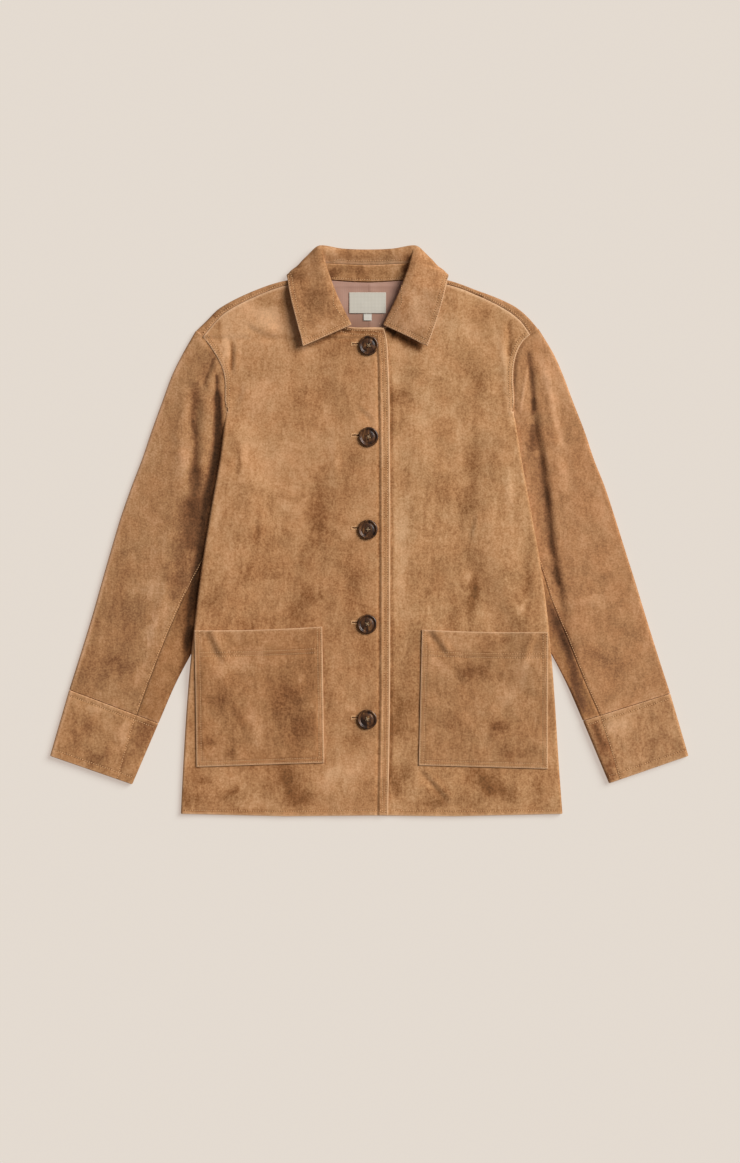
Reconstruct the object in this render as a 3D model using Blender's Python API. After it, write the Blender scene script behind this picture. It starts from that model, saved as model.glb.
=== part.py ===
"""Button-front suede jacket laid flat on its back, front up, collar towards +Y and hem towards -Y.

Left and right are as seen from above: left is -X. Plan sizes and heights are in millimetres
here, and are turned to metres where a mesh is made. Every cloth piece is drawn as the middle
surface of its wall, on rows and columns of points, and gets its wall from a Solidify.
Heights are above the table: the sleeves lie on it, the back lies on the sleeves' inner parts
and on the turned-down collar, and the fronts lie on the back.
"""

import math
from collections import namedtuple

import bmesh
import bpy
import numpy as np

MM = 0.001

# Walls of the cloth and the gap kept where two pieces meet.
SUEDE = 1.6
CUFF_WALL = 2.0
COLLAR_WALL = 1.8
LINING_WALL = 1.0
LABEL_WALL = 1.0
SEAM_GAP = 0.3
ARMHOLE_GAP = 0.5

# Body laid flat: the hollow between back and fronts, and the side folds that close it.
HOLLOW = 3.0
FRONT_RISE = SUEDE + HOLLOW + SUEDE / 2
FOLD_RADIUS = (SUEDE + HOLLOW) / 2
FOLD_REACH = FOLD_RADIUS + SUEDE / 2
HEM_LEVEL = -361.0
HEM_DROOP = 0.9
OVERLAP_LEFT = -32.0
OVERLAP_RISE = 0.7
UNDERLAP_DROP = 1.2

# What the back lies on.
SLEEVE_PINCH = 3.5
SLEEVE_FULL = 6.8
LIFT_OVER_SLEEVE = 4.2
LIFT_OVER_COLLAR = 2.2

BUTTON_RADIUS = 12.5
BUTTON_THICK = 4.0
BUTTON_HOLE_RADIUS = 1.15
BUTTON_HOLE_STEP = 2.1
BUTTON_X = -3.4
BUTTON_LEVELS = (236.5, 120.3, 2.6, -117.6, -238.6)

# Side edges of the body, from the underarm down to the hem.
Level = namedtuple("Level", "y left right")
BODY_SIDES = [
    Level(153.0, -183.7, 183.4),
    Level(130.0, -186.0, 186.8),
    Level(92.0, -190.6, 192.7),
    Level(50.0, -198.2, 200.3),
    Level(0.0, -206.8, 209.6),
    Level(-60.0, -216.0, 219.8),
    Level(-110.0, -222.0, 226.0),
    Level(-155.0, -227.0, 230.4),
    Level(-210.0, -232.0, 234.8),
    Level(-300.0, -237.7, 240.6),
    Level(-359.0, -240.6, 245.0),
]

# Armhole seam, from the underarm up to the fold of the shoulder.
Pair = namedtuple("Pair", "left_x left_y right_x right_y")
ARMHOLE = [
    Pair(-183.7, 153.0, 183.4, 153.0),
    Pair(-184.2, 173.6, 182.9, 174.0),
    Pair(-184.8, 195.5, 182.0, 193.0),
    Pair(-189.1, 211.3, 182.9, 211.0),
    Pair(-196.3, 224.7, 187.6, 229.5),
    Pair(-204.9, 238.0, 194.6, 241.8),
    Pair(-212.6, 247.4, 203.8, 250.4),
]

# Shoulder seam on the front, from the armhole to the neck.
SHOULDER_SEAM = [
    Pair(-212.6, 247.4, 203.8, 250.4),
    Pair(-198.8, 264.3, 193.4, 265.6),
    Pair(-187.0, 276.3, 181.2, 276.6),
    Pair(-173.2, 285.4, 161.8, 288.4),
    Pair(-151.4, 296.4, 129.0, 303.4),
    Pair(-110.0, 312.0, 104.0, 312.6),
    Pair(-86.5, 316.5, 80.5, 316.5),
]

# Fold of the shoulder, the top outline of the body.
SHOULDER_FOLD = [
    Pair(-221.8, 254.9, 214.6, 257.4),
    Pair(-208.5, 267.8, 200.7, 273.2),
    Pair(-193.9, 282.3, 186.1, 285.4),
    Pair(-180.6, 290.7, 161.8, 297.2),
    Pair(-151.4, 304.8, 129.0, 309.4),
    Pair(-112.5, 318.0, 104.0, 318.4),
    Pair(-86.5, 322.4, 80.5, 322.4),
]

# Neckline of the fronts, from the placket to the shoulder seam.
NECKLINE = [
    Pair(17.7, 258.9, -31.5, 259.6),
    Pair(-10.0, 259.0, 0.0, 259.6),
    Pair(-27.0, 260.2, 21.5, 260.8),
    Pair(-41.5, 264.8, 36.0, 265.2),
    Pair(-61.5, 278.0, 56.0, 278.2),
    Pair(-76.0, 294.0, 70.5, 294.0),
    Pair(-83.5, 306.0, 77.8, 306.0),
    Pair(-86.5, 316.5, 80.5, 316.5),
]

# Placket edge of the left front, and the hidden edge of the right front under it.
FRONT_EDGES = [
    Level(-361.0, 23.0, -31.5),
    Level(-214.0, 25.4, -32.0),
    Level(-74.0, 25.6, -32.0),
    Level(104.0, 25.3, -32.0),
    Level(212.0, 23.4, -32.0),
    Level(246.0, 21.0, -31.6),
    Level(258.9, 17.7, -31.5),
]

# Back of the neck, under the collar stand, from left to right.
BACK_NECK = [(-86.5, 322.2), (-66.0, 321.4), (-48.0, 319.8), (-25.0, 318.0), (-3.0, 317.2),
             (19.0, 318.0), (42.0, 319.8), (60.0, 321.4), (80.5, 322.2)]

# Cross sections of the sleeve below the armhole. tuck is how far the inner edge lies under the
# side of the body, seam is the share of the width from the inner edge to the front seam, and
# bow is how much of the armhole's curve the section still has.
Section = namedtuple("Section", "in_y tuck out_y out_left out_right seam bow")
SLEEVE = [
    Section(135.0, -0.6, 226.0, 238.2, 236.9, 0.09, 0.62),
    Section(114.0, 0.0, 198.0, 252.0, 247.6, 0.09, 0.34),
    Section(95.0, 8.0, 165.0, 264.0, 260.2, 0.10, 0.16),
    Section(74.0, 22.0, 127.0, 277.0, 274.3, 0.11, 0.06),
    Section(50.0, 35.0, 92.0, 289.7, 287.1, 0.12, 0.02),
    Section(18.0, 42.0, 57.0, 303.3, 299.8, 0.16, 0.0),
    Section(-20.0, 44.0, 18.0, 317.0, 312.9, 0.20, 0.0),
    Section(-60.0, 40.0, -24.0, 329.3, 325.6, 0.24, 0.0),
    Section(-98.0, 26.0, -63.0, 338.4, 337.1, 0.28, 0.0),
    Section(-146.0, 4.0, -111.0, 350.3, 351.6, 0.30, 0.0),
    Section(-193.0, -16.5, -159.0, 365.8, 366.2, 0.265, 0.0),
]

# Cuff corners: the seam line with the sleeve, then the open end.
Corner = namedtuple("Corner", "in_left in_left_y out_left out_left_y in_right in_right_y out_right out_right_y")
CUFF = [
    Corner(-269.0, -244.0, -380.6, -201.3, 270.9, -240.9, 382.0, -206.0),
    Corner(-302.3, -321.5, -404.9, -285.2, 304.0, -320.2, 405.1, -285.2),
]
CUFF_HEIGHT = 7.9
CUFF_SEAM = 0.262
UNDER_SEAM = 0.80

# Cross sections of half the collar, from its front end to the middle of the back. out is the
# distance from the collar's middle line. Each section runs from the neck seam and the stand's
# upper seam, over the roll, down the outside and, at the back, in underneath to the outer edge.
COLLAR_MIDDLE = -3.0
STAND_PATHS = [
    # neck seam (out, y, z), upper seam (out, y, z)
    ((24.0, 261.6, 6.7), (25.2, 263.4, 8.2)),
    ((47.4, 272.0, 7.0), (43.6, 277.4, 9.6)),
    ((67.3, 288.6, 7.2), (57.0, 295.6, 11.2)),
    ((78.4, 304.6, 7.4), (65.0, 312.6, 11.8)),
    ((82.0, 316.0, 7.0), (69.0, 327.0, 11.8)),
    ((81.8, 320.6, 6.4), (69.8, 331.6, 11.5)),
    ((80.4, 323.6, 5.6), (69.0, 335.0, 11.0)),
    ((70.0, 323.0, 4.6), (63.5, 339.4, 10.3)),
    ((56.0, 321.6, 4.1), (53.0, 340.7, 9.5)),
    ((33.0, 319.3, 4.0), (32.0, 339.8, 8.4)),
    ((0.0, 317.9, 4.0), (0.0, 338.5, 7.8)),
]
LEAF_PATHS = [
    # roll, crown, shoulder, edge fold, underside, outer edge
    ((21.0, 262.6, 9.2), (27.0, 259.4, 10.2), (40.0, 253.5, 10.9),
     (54.0, 247.2, 11.1), (67.0, 241.4, 11.0), (78.6, 236.9, 10.8)),
    ((32.2, 284.6, 13.6), (37.0, 281.8, 15.2), (48.0, 274.0, 14.6),
     (60.0, 265.4, 13.4), (72.5, 256.2, 12.2), (84.8, 247.0, 11.4)),
    ((40.0, 301.4, 16.0), (45.5, 299.6, 17.6), (56.0, 293.4, 16.6),
     (68.0, 286.0, 14.8), (80.0, 278.8, 13.2), (91.6, 272.0, 12.0)),
    ((47.0, 319.4, 17.2), (52.5, 318.6, 18.8), (63.0, 314.6, 17.6),
     (75.0, 309.6, 15.6), (87.0, 304.4, 13.9), (98.2, 299.6, 12.6)),
    ((53.0, 337.0, 16.8), (58.5, 336.8, 18.2), (70.0, 334.2, 16.6),
     (84.0, 330.2, 13.8), (95.6, 326.6, 11.2), (102.3, 323.8, 8.4)),
    ((54.6, 343.0, 16.6), (60.2, 342.6, 17.8), (72.0, 339.2, 15.4),
     (87.0, 334.4, 10.6), (98.6, 329.4, 4.6), (102.2, 322.6, 0.6)),
    ((56.0, 348.0, 16.2), (61.5, 347.6, 17.2), (73.0, 344.0, 14.6),
     (86.6, 338.4, 9.8), (91.6, 334.6, 4.2), (96.6, 310.5, 0.9)),
    ((58.0, 355.8, 15.2), (62.5, 355.6, 15.6), (72.0, 351.4, 12.2),
     (79.6, 346.4, 7.4), (80.0, 340.6, 2.6), (86.0, 301.0, 1.0)),
    ((56.6, 357.6, 14.0), (59.8, 361.0, 12.4), (61.4, 362.4, 9.0),
     (60.6, 360.4, 5.4), (58.4, 352.0, 2.2), (63.0, 294.8, 1.0)),
    ((31.6, 353.6, 12.2), (31.2, 357.9, 10.6), (31.2, 358.5, 7.6),
     (31.4, 356.4, 4.8), (32.0, 345.0, 2.0), (35.0, 291.8, 1.0)),
    ((0.0, 352.4, 11.4), (0.0, 356.9, 9.8), (0.0, 357.5, 7.0),
     (0.0, 355.4, 4.4), (0.0, 344.0, 2.0), (0.0, 291.0, 1.0)),
]

# Lining that shows inside the neck, its label and the size tab.
LINING_HALF = 74.0
LINING_LOW = 226.0
LABEL_BOX = (-26.4, 277.4, 20.4, 304.0)
TAB_BOX = (-8.3, 268.0, 2.3, 276.9)

# Patch pockets: corners and the rise of the mouth in its middle.
Pocket = namedtuple("Pocket", "name top_out top_in low_in low_out")
POCKETS = [
    Pocket("pocket_left", (-222.9, -125.5), (-60.6, -120.9), (-58.0, -294.0), (-220.6, -299.3)),
    Pocket("pocket_right", (226.2, -127.4), (66.0, -124.6), (61.8, -297.2), (226.1, -301.8)),
]
POCKET_SAG = 1.6
POCKET_MOUTH = 0.9
POCKET_CLEAR = 0.6


def ease(t):
    """0 to 1 with soft ends."""
    t = np.clip(t, 0.0, 1.0)
    return t * t * (3.0 - 2.0 * t)


def smooth_line(points, shares):
    """Points at the given shares of the length of a smooth line through the given points."""
    points = np.array(points, float)
    at = np.r_[0.0, np.cumsum(np.linalg.norm(np.diff(points, axis=0), axis=1))]
    slope = np.gradient(points, at, axis=0)
    want = np.asarray(shares) * at[-1]
    k = np.clip(np.searchsorted(at, want, "right") - 1, 0, len(at) - 2)
    step = (at[k + 1] - at[k])[:, None]
    t = (want - at[k])[:, None] / step
    return ((1 + 2 * t) * (1 - t) ** 2 * points[k] + t * (1 - t) ** 2 * step * slope[k]
            + t * t * (3 - 2 * t) * points[k + 1] + t * t * (t - 1) * step * slope[k + 1])


def even(count):
    return np.linspace(0.0, 1.0, count + 1)


def side_of(rows, side):
    """The left or the right points of a table of pairs."""
    if side < 0:
        return [(row.left_x, row.left_y) for row in rows]
    return [(row.right_x, row.right_y) for row in rows]


def level_x(rows, side, y):
    """The x of an edge that is given by levels."""
    ordered = sorted(rows)
    xs = [row.left if side < 0 else row.right for row in ordered]
    return np.interp(y, [row.y for row in ordered], xs)


def level_line(rows, side, shares):
    return smooth_line([(row.left if side < 0 else row.right, row.y) for row in rows], shares)


def edge_normals(line, side):
    """Unit normals of a plan line, to its left for side > 0 and to its right for side < 0."""
    along = np.gradient(line, axis=0)
    normal = np.stack([-along[:, 1], along[:, 0]], axis=1) * side
    return normal / np.linalg.norm(normal, axis=1)[:, None]


def sleeve_edge(y):
    """Distance from the middle to the hidden inner edge of a sleeve."""
    rows = sorted(SLEEVE)
    tuck = np.interp(y, [row.in_y for row in rows], [row.tuck for row in rows])
    return np.abs(level_x(BODY_SIDES, -1, y)) - tuck


def bed(x, y):
    """Height of the underside of the back: on the table, on a sleeve or on the collar."""
    x, y = np.asarray(x, float), np.asarray(y, float)
    ends = ease((150.0 - y) / 35.0) * ease((y + 222.0) / 50.0)
    edge = np.minimum(sleeve_edge(np.clip(y, -170.0, 100.0)), 215.0)
    sleeve = LIFT_OVER_SLEEVE * ends * ease((np.abs(x) - edge + 52.0) / 48.0)
    reach = ease((142.0 - np.abs(x - COLLAR_MIDDLE)) / 34.0)
    return sleeve + LIFT_OVER_COLLAR * reach * ease((y - 248.0) / 40.0)


def inside_side(x, y):
    """Distance from a point in to the nearer side edge of the body."""
    edge = np.where(x < 0, -level_x(BODY_SIDES, -1, y), level_x(BODY_SIDES, 1, y))
    return edge - np.abs(x)


def swell(x, y):
    """Wide, low waves of a front, none near its folds and its placket."""
    quiet = ease((np.abs(x) - 40.0) / 40.0) * ease((inside_side(x, y) - 12.0) / 50.0)
    return 0.4 * quiet * np.sin(x / 31.0 + y / 90.0) * np.sin(y / 47.0 - x / 120.0)


def front_height(side, x, y):
    """Height of the middle of a front's wall."""
    x, y = np.asarray(x, float), np.asarray(y, float)
    if side < 0:
        lap = OVERLAP_RISE * ease((x + 62.0) / 24.0)
    else:
        lap = -UNDERLAP_DROP * ease((62.0 - x) / 30.0)
    droop = HEM_DROOP * ease((HEM_LEVEL + 34.0 - y) / 34.0) * ease((inside_side(x, y) - 5.0) / 24.0)
    return bed(x, y) + FRONT_RISE + lap - droop + swell(x, y)


def over_front(side, x, y, above):
    """Height of a surface lying above a front's middle surface, round its side fold too."""
    reach = np.maximum(FOLD_REACH - inside_side(x, y), 0.0)
    radius = FOLD_RADIUS + above
    flat = front_height(side, x, y)
    return flat - radius + above + np.sqrt(radius**2 - reach**2)


def patch(low, high, inner, outer):
    """Plan grid between four border lines: low and high across, inner and outer up the sides."""
    u = (shares_along(low) + shares_along(high)) / 2
    v = (shares_along(inner) + shares_along(outer)) / 2
    u, v = u[None, :, None], v[:, None, None]
    corners = ((1 - u) * (1 - v) * low[0] + u * (1 - v) * low[-1]
               + (1 - u) * v * high[0] + u * v * high[-1])
    return (1 - v) * low[None] + v * high[None] + (1 - u) * inner[:, None] + u * outer[:, None] - corners


def relaxed(plan, rounds):
    """The same grid with its inner points spread evenly, so that no cell folds over at a corner."""
    plan = plan.copy()
    for _ in range(rounds):
        plan[1:-1, 1:-1] = (plan[:-2, 1:-1] + plan[2:, 1:-1] + plan[1:-1, :-2] + plan[1:-1, 2:]) / 4
    return plan


def shares_along(line):
    at = np.r_[0.0, np.cumsum(np.linalg.norm(np.diff(line, axis=0), axis=1))]
    return at / at[-1]


def with_height(plan, height):
    return np.dstack([plan, height(plan[..., 0], plan[..., 1])])


def fold(points, outward, radius, start, end, count):
    """Rows of a fold about each point: the angle is 0 straight down and 180 straight up."""
    rows = []
    for angle in np.linspace(start, end, count + 1):
        turn = math.radians(angle)
        plan = points[:, :2] + outward * radius * math.sin(turn)
        rows.append(np.c_[plan, points[:, 2] - radius * math.cos(turn)])
    return np.array(rows)


def finish(name, colour, roughness):
    """A plain surface in the colour of the piece."""
    material = bpy.data.materials.new(name)
    material.use_nodes = True
    shader = material.node_tree.nodes["Principled BSDF"]
    linear = [((c / 255 + 0.055) / 1.055) ** 2.4 if c > 10 else c / 255 / 12.92 for c in colour]
    shader.inputs["Base Color"].default_value = (*linear, 1.0)
    shader.inputs["Roughness"].default_value = roughness
    shader.inputs["Metallic"].default_value = 0.0
    material.diffuse_color = (*linear, 1.0)
    return material


def place(name, bm, material):
    """A named, smooth shaded object from a mesh in millimetres."""
    bmesh.ops.remove_doubles(bm, verts=bm.verts, dist=0.001)
    bmesh.ops.scale(bm, vec=(MM, MM, MM), verts=bm.verts)
    mesh = bpy.data.meshes.new(name)
    bm.to_mesh(mesh)
    bm.free()
    mesh.shade_smooth()
    mesh.set_sharp_from_angle(angle=math.radians(40))
    mesh.materials.append(material)
    obj = bpy.data.objects.new(name, mesh)
    bpy.context.scene.collection.objects.link(obj)
    return obj


def cloth(name, grids, wall, material, closed=False):
    """A cloth piece: grids of middle-surface points joined along shared borders, with a wall."""
    bm = bmesh.new()
    for grid in grids:
        verts = [[bm.verts.new(point) for point in row] for row in grid]
        if closed:
            verts = [row + row[:1] for row in verts]
        for low, high in zip(verts, verts[1:]):
            for a, b, c, d in zip(low, low[1:], high[1:], high):
                bm.faces.new((a, b, c, d))
    obj = place(name, bm, material)
    solid = obj.modifiers.new("Wall", "SOLIDIFY")
    solid.thickness = wall * MM
    solid.offset = 0.0
    solid.use_quality_normals = True
    return obj


def front(side):
    """A front: the flat panel, and the fold at its side that turns under to the side seam."""
    across_neck, across_shoulder, up_side, up_armhole = 8, 8, 18, 9
    side_line = level_line(BODY_SIDES[::-1], side, even(up_side))
    outward = edge_normals(side_line, side)
    outward = np.where((outward[:, :1] * side) > 0, outward, -outward)
    inner_side = side_line - outward * FOLD_REACH
    armhole = smooth_line(side_of(ARMHOLE, side), even(up_armhole))
    armhole[0] = inner_side[-1]
    outer = np.r_[inner_side, armhole[1:]]
    neck = smooth_line(side_of(NECKLINE, side), even(across_neck))
    seam = smooth_line(side_of(SHOULDER_SEAM, side)[::-1], even(across_shoulder))
    high = np.r_[neck, seam[1:]]
    low_in = (level_x(FRONT_EDGES, side, HEM_LEVEL), HEM_LEVEL)
    low_out = tuple(inner_side[0])
    middle = (side * 108.0, HEM_LEVEL - 1.2)
    low = np.r_[smooth_line([low_in, middle], even(across_neck)),
                smooth_line([middle, low_out], even(across_shoulder))[1:]]
    edge = np.array([(row.left if side < 0 else row.right, row.y) for row in FRONT_EDGES])
    share = np.r_[shares_along(inner_side) * 0.80, 0.80 + 0.20 * even(up_armhole)[1:]]
    inner = smooth_line(edge, share)
    inner[0], inner[-1] = low[0], high[0]
    plan = relaxed(patch(low, high, inner, outer), 60)
    plan[-1, across_neck + 1:, 1] -= SEAM_GAP / 2
    panel = with_height(plan, lambda x, y: front_height(side, x, y))
    last = panel[: up_side + 1, -1]
    centre = last - np.array([0.0, 0.0, FOLD_RADIUS])
    turn = fold(centre, outward, FOLD_RADIUS, 180.0, 0.0, 5)
    turn[0] = last
    turn = np.swapaxes(turn, 0, 1)
    name = "front_left" if side < 0 else "front_right"
    return cloth(name, [panel, turn], SUEDE, finish(name + "_suede", (176, 129, 89), 0.9))


def back():
    """The back: flat below, and turned over the shoulders to the seams on the front."""
    across_neck, across_shoulder, up_side, up_armhole = 8, 8, 18, 8
    sides, tops = {}, {}
    for side in (-1, 1):
        side_line = level_line(BODY_SIDES[::-1], side, even(up_side))
        outward = edge_normals(side_line, side)
        outward = np.where((outward[:, :1] * side) > 0, outward, -outward)
        inner_side = side_line - outward * (FOLD_REACH + SEAM_GAP)
        ridge = smooth_line(side_of(SHOULDER_FOLD, side), even(across_shoulder))
        away = edge_normals(ridge, 1)
        away = np.where(away[:, 1:] > 0, away, -away)
        base = ridge - away * FOLD_REACH
        armhole = smooth_line(side_of(ARMHOLE, side) + [tuple(base[0])], even(up_armhole))
        inset = (FOLD_REACH + SEAM_GAP) * (1 - ease(even(up_armhole) / 0.3))
        armhole[:, 0] -= side * (inset + ARMHOLE_GAP)
        armhole[0] = inner_side[-1]
        sides[side] = np.r_[inner_side, armhole[1:]]
        tops[side] = (base, away)
    neck = smooth_line(BACK_NECK, even(across_neck))
    neck[:, 1] -= 0.5
    for side, end in ((-1, 0), (1, -1)):
        neck[end] = tops[side][0][-1]
    high = np.r_[tops[-1][0], neck[1:-1], tops[1][0][::-1]]
    low_left, low_right = sides[-1][0].copy(), sides[1][0].copy()
    low = low_left + shares_along(high)[:, None] * (low_right - low_left)
    low[:, 1] = HEM_LEVEL + 2.0
    for side in (-1, 1):
        sides[side][0, 1] = HEM_LEVEL + 2.0
    plan = relaxed(patch(low, high, sides[-1], sides[1]), 30)
    sheet = with_height(plan, lambda x, y: bed(x, y) + SUEDE / 2)
    grids = [sheet]
    for side in (-1, 1):
        base, away = tops[side]
        count = across_shoulder
        row = sheet[-1, : count + 1] if side < 0 else sheet[-1, -count - 1:][::-1]
        centre = row + np.array([0.0, 0.0, FOLD_RADIUS])
        turn = fold(centre, away, FOLD_RADIUS, 0.0, 180.0, 5)
        turn[0] = row
        seam = smooth_line(side_of(SHOULDER_SEAM, side), even(count))
        seam[:, 1] += SEAM_GAP / 2
        seam_z = front_height(side, seam[:, 0], seam[:, 1])
        end = np.c_[seam, seam_z]
        strip = np.concatenate([turn, (turn[-1:] + end) / 2, end[None]])
        if side > 0:
            strip = strip[:, ::-1]
        grids.append(strip)
    return cloth("back", grids, SUEDE, finish("back_suede", (166, 119, 80), 0.9))


def sleeve_height(x, y):
    """Height of a sleeve's top: pinched beside the body, full elsewhere."""
    beside = ease((-inside_side(x, y) - 3.0) / 42.0)
    full = np.maximum.reduce([beside, ease((y - 120.0) / 42.0), ease((-168.0 - y) / 50.0)])
    return SLEEVE_PINCH + (SLEEVE_FULL - SLEEVE_PINCH) * full


def sleeve_sections(side, count):
    """Plan lines of the sleeve's cross sections, inner edge first, with their seam shares."""
    ridge_end = side_of(SHOULDER_FOLD, side)[0]
    armhole = smooth_line(side_of(ARMHOLE, side) + [ridge_end], even(count))
    outward = edge_normals(armhole, 1)
    outward = np.where((outward[:, :1] * side) > 0, outward, -outward)
    armhole = armhole + outward * ARMHOLE_GAP
    armhole[:2] += [(side * 0.5, 1.0), (side * 0.3, 0.4)]
    armhole[-1] += (side * 0.9, -1.1)
    chord = armhole[0] + shares_along(armhole)[:, None] * (armhole[-1] - armhole[0])
    bow = armhole - chord
    lines, seams = [armhole], [SLEEVE[0].seam]
    for row in SLEEVE:
        start = np.array((level_x(BODY_SIDES, side, row.in_y) - side * row.tuck, row.in_y))
        end = np.array((side * (row.out_left if side < 0 else row.out_right), row.out_y))
        lines.append(start + shares_along(armhole)[:, None] * (end - start) + bow * row.bow)
        seams.append(row.seam)
    top = cuff_line(CUFF[0], side)
    down = cuff_line(CUFF[1], side) - top
    down = down / np.linalg.norm(down, axis=1)[:, None]
    lines.append(top[0] - down[0] * SEAM_GAP + even(count)[:, None] * (top[1] - top[0]))
    seams.append(CUFF_SEAM)
    return np.array(lines), np.array(seams)


def cuff_line(row, side):
    if side < 0:
        return np.array([(row.in_left, row.in_left_y), (row.out_left, row.out_left_y)])
    return np.array([(row.in_right, row.in_right_y), (row.out_right, row.out_right_y)])


def section_points(line, parts, wall, height):
    """Points round a flat tube's cross section.

    parts lists what to make in turn: ("top", from, to, count), ("low", from, to, count) or
    ("out" or "in", count) for the fold at the outer or the inner edge. Shares run along the
    line, and None stands for where the fold starts.
    """
    length = np.linalg.norm(np.diff(line, axis=0), axis=1).sum()
    found = {}
    for edge, guess in (("out", 1.0), ("in", 0.0)):
        tip = smooth_line(line, [guess])[0]
        radius = (float(height(tip[0], tip[1])) - wall) / 2
        reach = (radius + wall / 2) / length
        share = 1.0 - reach if edge == "out" else reach
        near = smooth_line(line, [share])[0]
        toward = (tip - near) / np.linalg.norm(tip - near)
        found[edge] = (share, near, toward, radius)
    points = []
    for part in parts:
        if part[0] in ("top", "low"):
            start = found[part[1]][0] if isinstance(part[1], str) else part[1]
            end = found[part[2]][0] if isinstance(part[2], str) else part[2]
            plan = smooth_line(line, np.linspace(start, end, part[3] + 1))
            if part[0] == "top":
                z = height(plan[:, 0], plan[:, 1]) - wall / 2
                for at, key in ((0, part[1]), (-1, part[2])):
                    if isinstance(key, str):
                        z[at] = 2 * found[key][3] + wall / 2
            else:
                z = np.full(len(plan), wall / 2)
            points += [np.r_[p, h] for p, h in zip(plan, z)]
        else:
            _, near, toward, radius = found[part[0]]
            angles = np.linspace(180.0, 0.0, part[1] + 1)
            if part[0] == "in":
                angles = angles[::-1]
            for angle in angles[1:-1]:
                turn = math.radians(angle)
                plan = near + toward * radius * math.sin(turn)
                points.append(np.r_[plan, wall / 2 + radius - radius * math.cos(turn)])
    return np.array(points)


def refined(values, count):
    """More rows between the given ones, smooth along the sleeve."""
    values = np.array(values, float)
    flat = values.reshape(len(values), -1)
    at = np.arange(len(values))
    slope = np.gradient(flat, axis=0)
    want = np.linspace(0, len(values) - 1, count + 1)
    k = np.clip(want.astype(int), 0, len(values) - 2)
    t = (want - at[k])[:, None]
    out = ((1 + 2 * t) * (1 - t) ** 2 * flat[k] + t * (1 - t) ** 2 * slope[k]
           + t * t * (3 - 2 * t) * flat[k + 1] + t * t * (t - 1) * slope[k + 1])
    return out.reshape((count + 1,) + values.shape[1:])


def sleeve(side):
    """Top sleeve over the outer fold, and under sleeve round the inner fold."""
    lines, seams = sleeve_sections(side, 24)
    lines, seams = refined(lines, 14), refined(seams, 14)
    which = "left" if side < 0 else "right"
    for name in ("top_sleeve_", "under_sleeve_"):
        rows = []
        for line, seam in zip(lines, seams):
            gap = 0.8 * SEAM_GAP / np.linalg.norm(line[-1] - line[0])
            if name == "top_sleeve_":
                parts = [("top", seam + gap, "out", 10), ("out", 5), ("low", "out", UNDER_SEAM + gap, 2)]
            else:
                parts = [("low", UNDER_SEAM - gap, "in", 6), ("in", 4), ("top", "in", seam - gap, 3)]
            rows.append(section_points(line, parts, SUEDE, sleeve_height))
        cloth(name + which, [np.array(rows)], SUEDE, finish(name + which + "_suede", (164, 117, 78), 0.9))


def cuff(side):
    """A cuff: a flat tube a little thicker than the sleeve."""
    top, end = cuff_line(CUFF[0], side), cuff_line(CUFF[1], side)
    lines = [top + share * (end - top) for share in even(3)]
    parts = [("top", "in", "out", 9), ("out", 5), ("low", "out", "in", 9), ("in", 5)]
    flat = lambda x, y: np.full(np.shape(x), CUFF_HEIGHT)
    rows = [section_points(line, parts, CUFF_WALL, flat) for line in lines]
    name = "cuff_left" if side < 0 else "cuff_right"
    cloth(name, [np.array(rows)], CUFF_WALL, finish(name + "_suede", (170, 123, 84), 0.9), closed=True)


def collar_rows(paths, spans, between):
    """Rows along the whole collar, from its left front end round the back to the right one."""
    half = []
    for path in paths:
        points = np.array(path, float)
        shares = shares_along(points)
        want = np.concatenate([np.linspace(a, b, n, endpoint=False)
                               for a, b, n in zip(shares, shares[1:], spans)] + [[1.0]])
        half.append(smooth_line(points, want))
    half = np.array(half)
    left, right = half.copy(), half[::-1][1:].copy()
    left[..., 0] = COLLAR_MIDDLE - left[..., 0]
    narrow = 0.955 + 0.045 * np.clip((right[..., 1] - 236.0) / 84.0, 0.0, 1.0)
    right[..., 0] = COLLAR_MIDDLE + right[..., 0] * narrow
    whole = refined(np.concatenate([left, right]), (2 * len(half) - 2) * between)
    whole[..., 2] = np.maximum(whole[..., 2], COLLAR_WALL / 2)
    return whole


def collar():
    """The stand round the neck, and the leaf that rolls over it to the points of the collar."""
    tan = finish("collar_suede", (170, 124, 85), 0.9)
    stand_rows = collar_rows(STAND_PATHS, (2,), 2)
    cloth("collar_stand", [stand_rows], COLLAR_WALL, finish("collar_stand_suede", (158, 112, 75), 0.9))
    seam = np.array([path[1] for path in STAND_PATHS])
    along = np.gradient(seam, axis=0)
    along /= np.linalg.norm(along, axis=1)[:, None]
    toward = np.array([path[0] for path in LEAF_PATHS]) - seam
    toward /= np.linalg.norm(toward, axis=1)[:, None]
    square = np.linalg.norm(np.cross(along, toward), axis=1)
    start = seam + toward * np.minimum(2.6 * SEAM_GAP / square**1.7, 7.0)[:, None]
    paths = [(tuple(first),) + leaf for first, leaf in zip(start, LEAF_PATHS)]
    leaf_rows = collar_rows(paths, (1, 2, 2, 2, 2, 2), 2)
    cloth("collar", [leaf_rows], COLLAR_WALL, tan)


def lining_height(x, y):
    return bed(x, y) + SUEDE + 0.4 + LINING_WALL / 2


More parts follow.
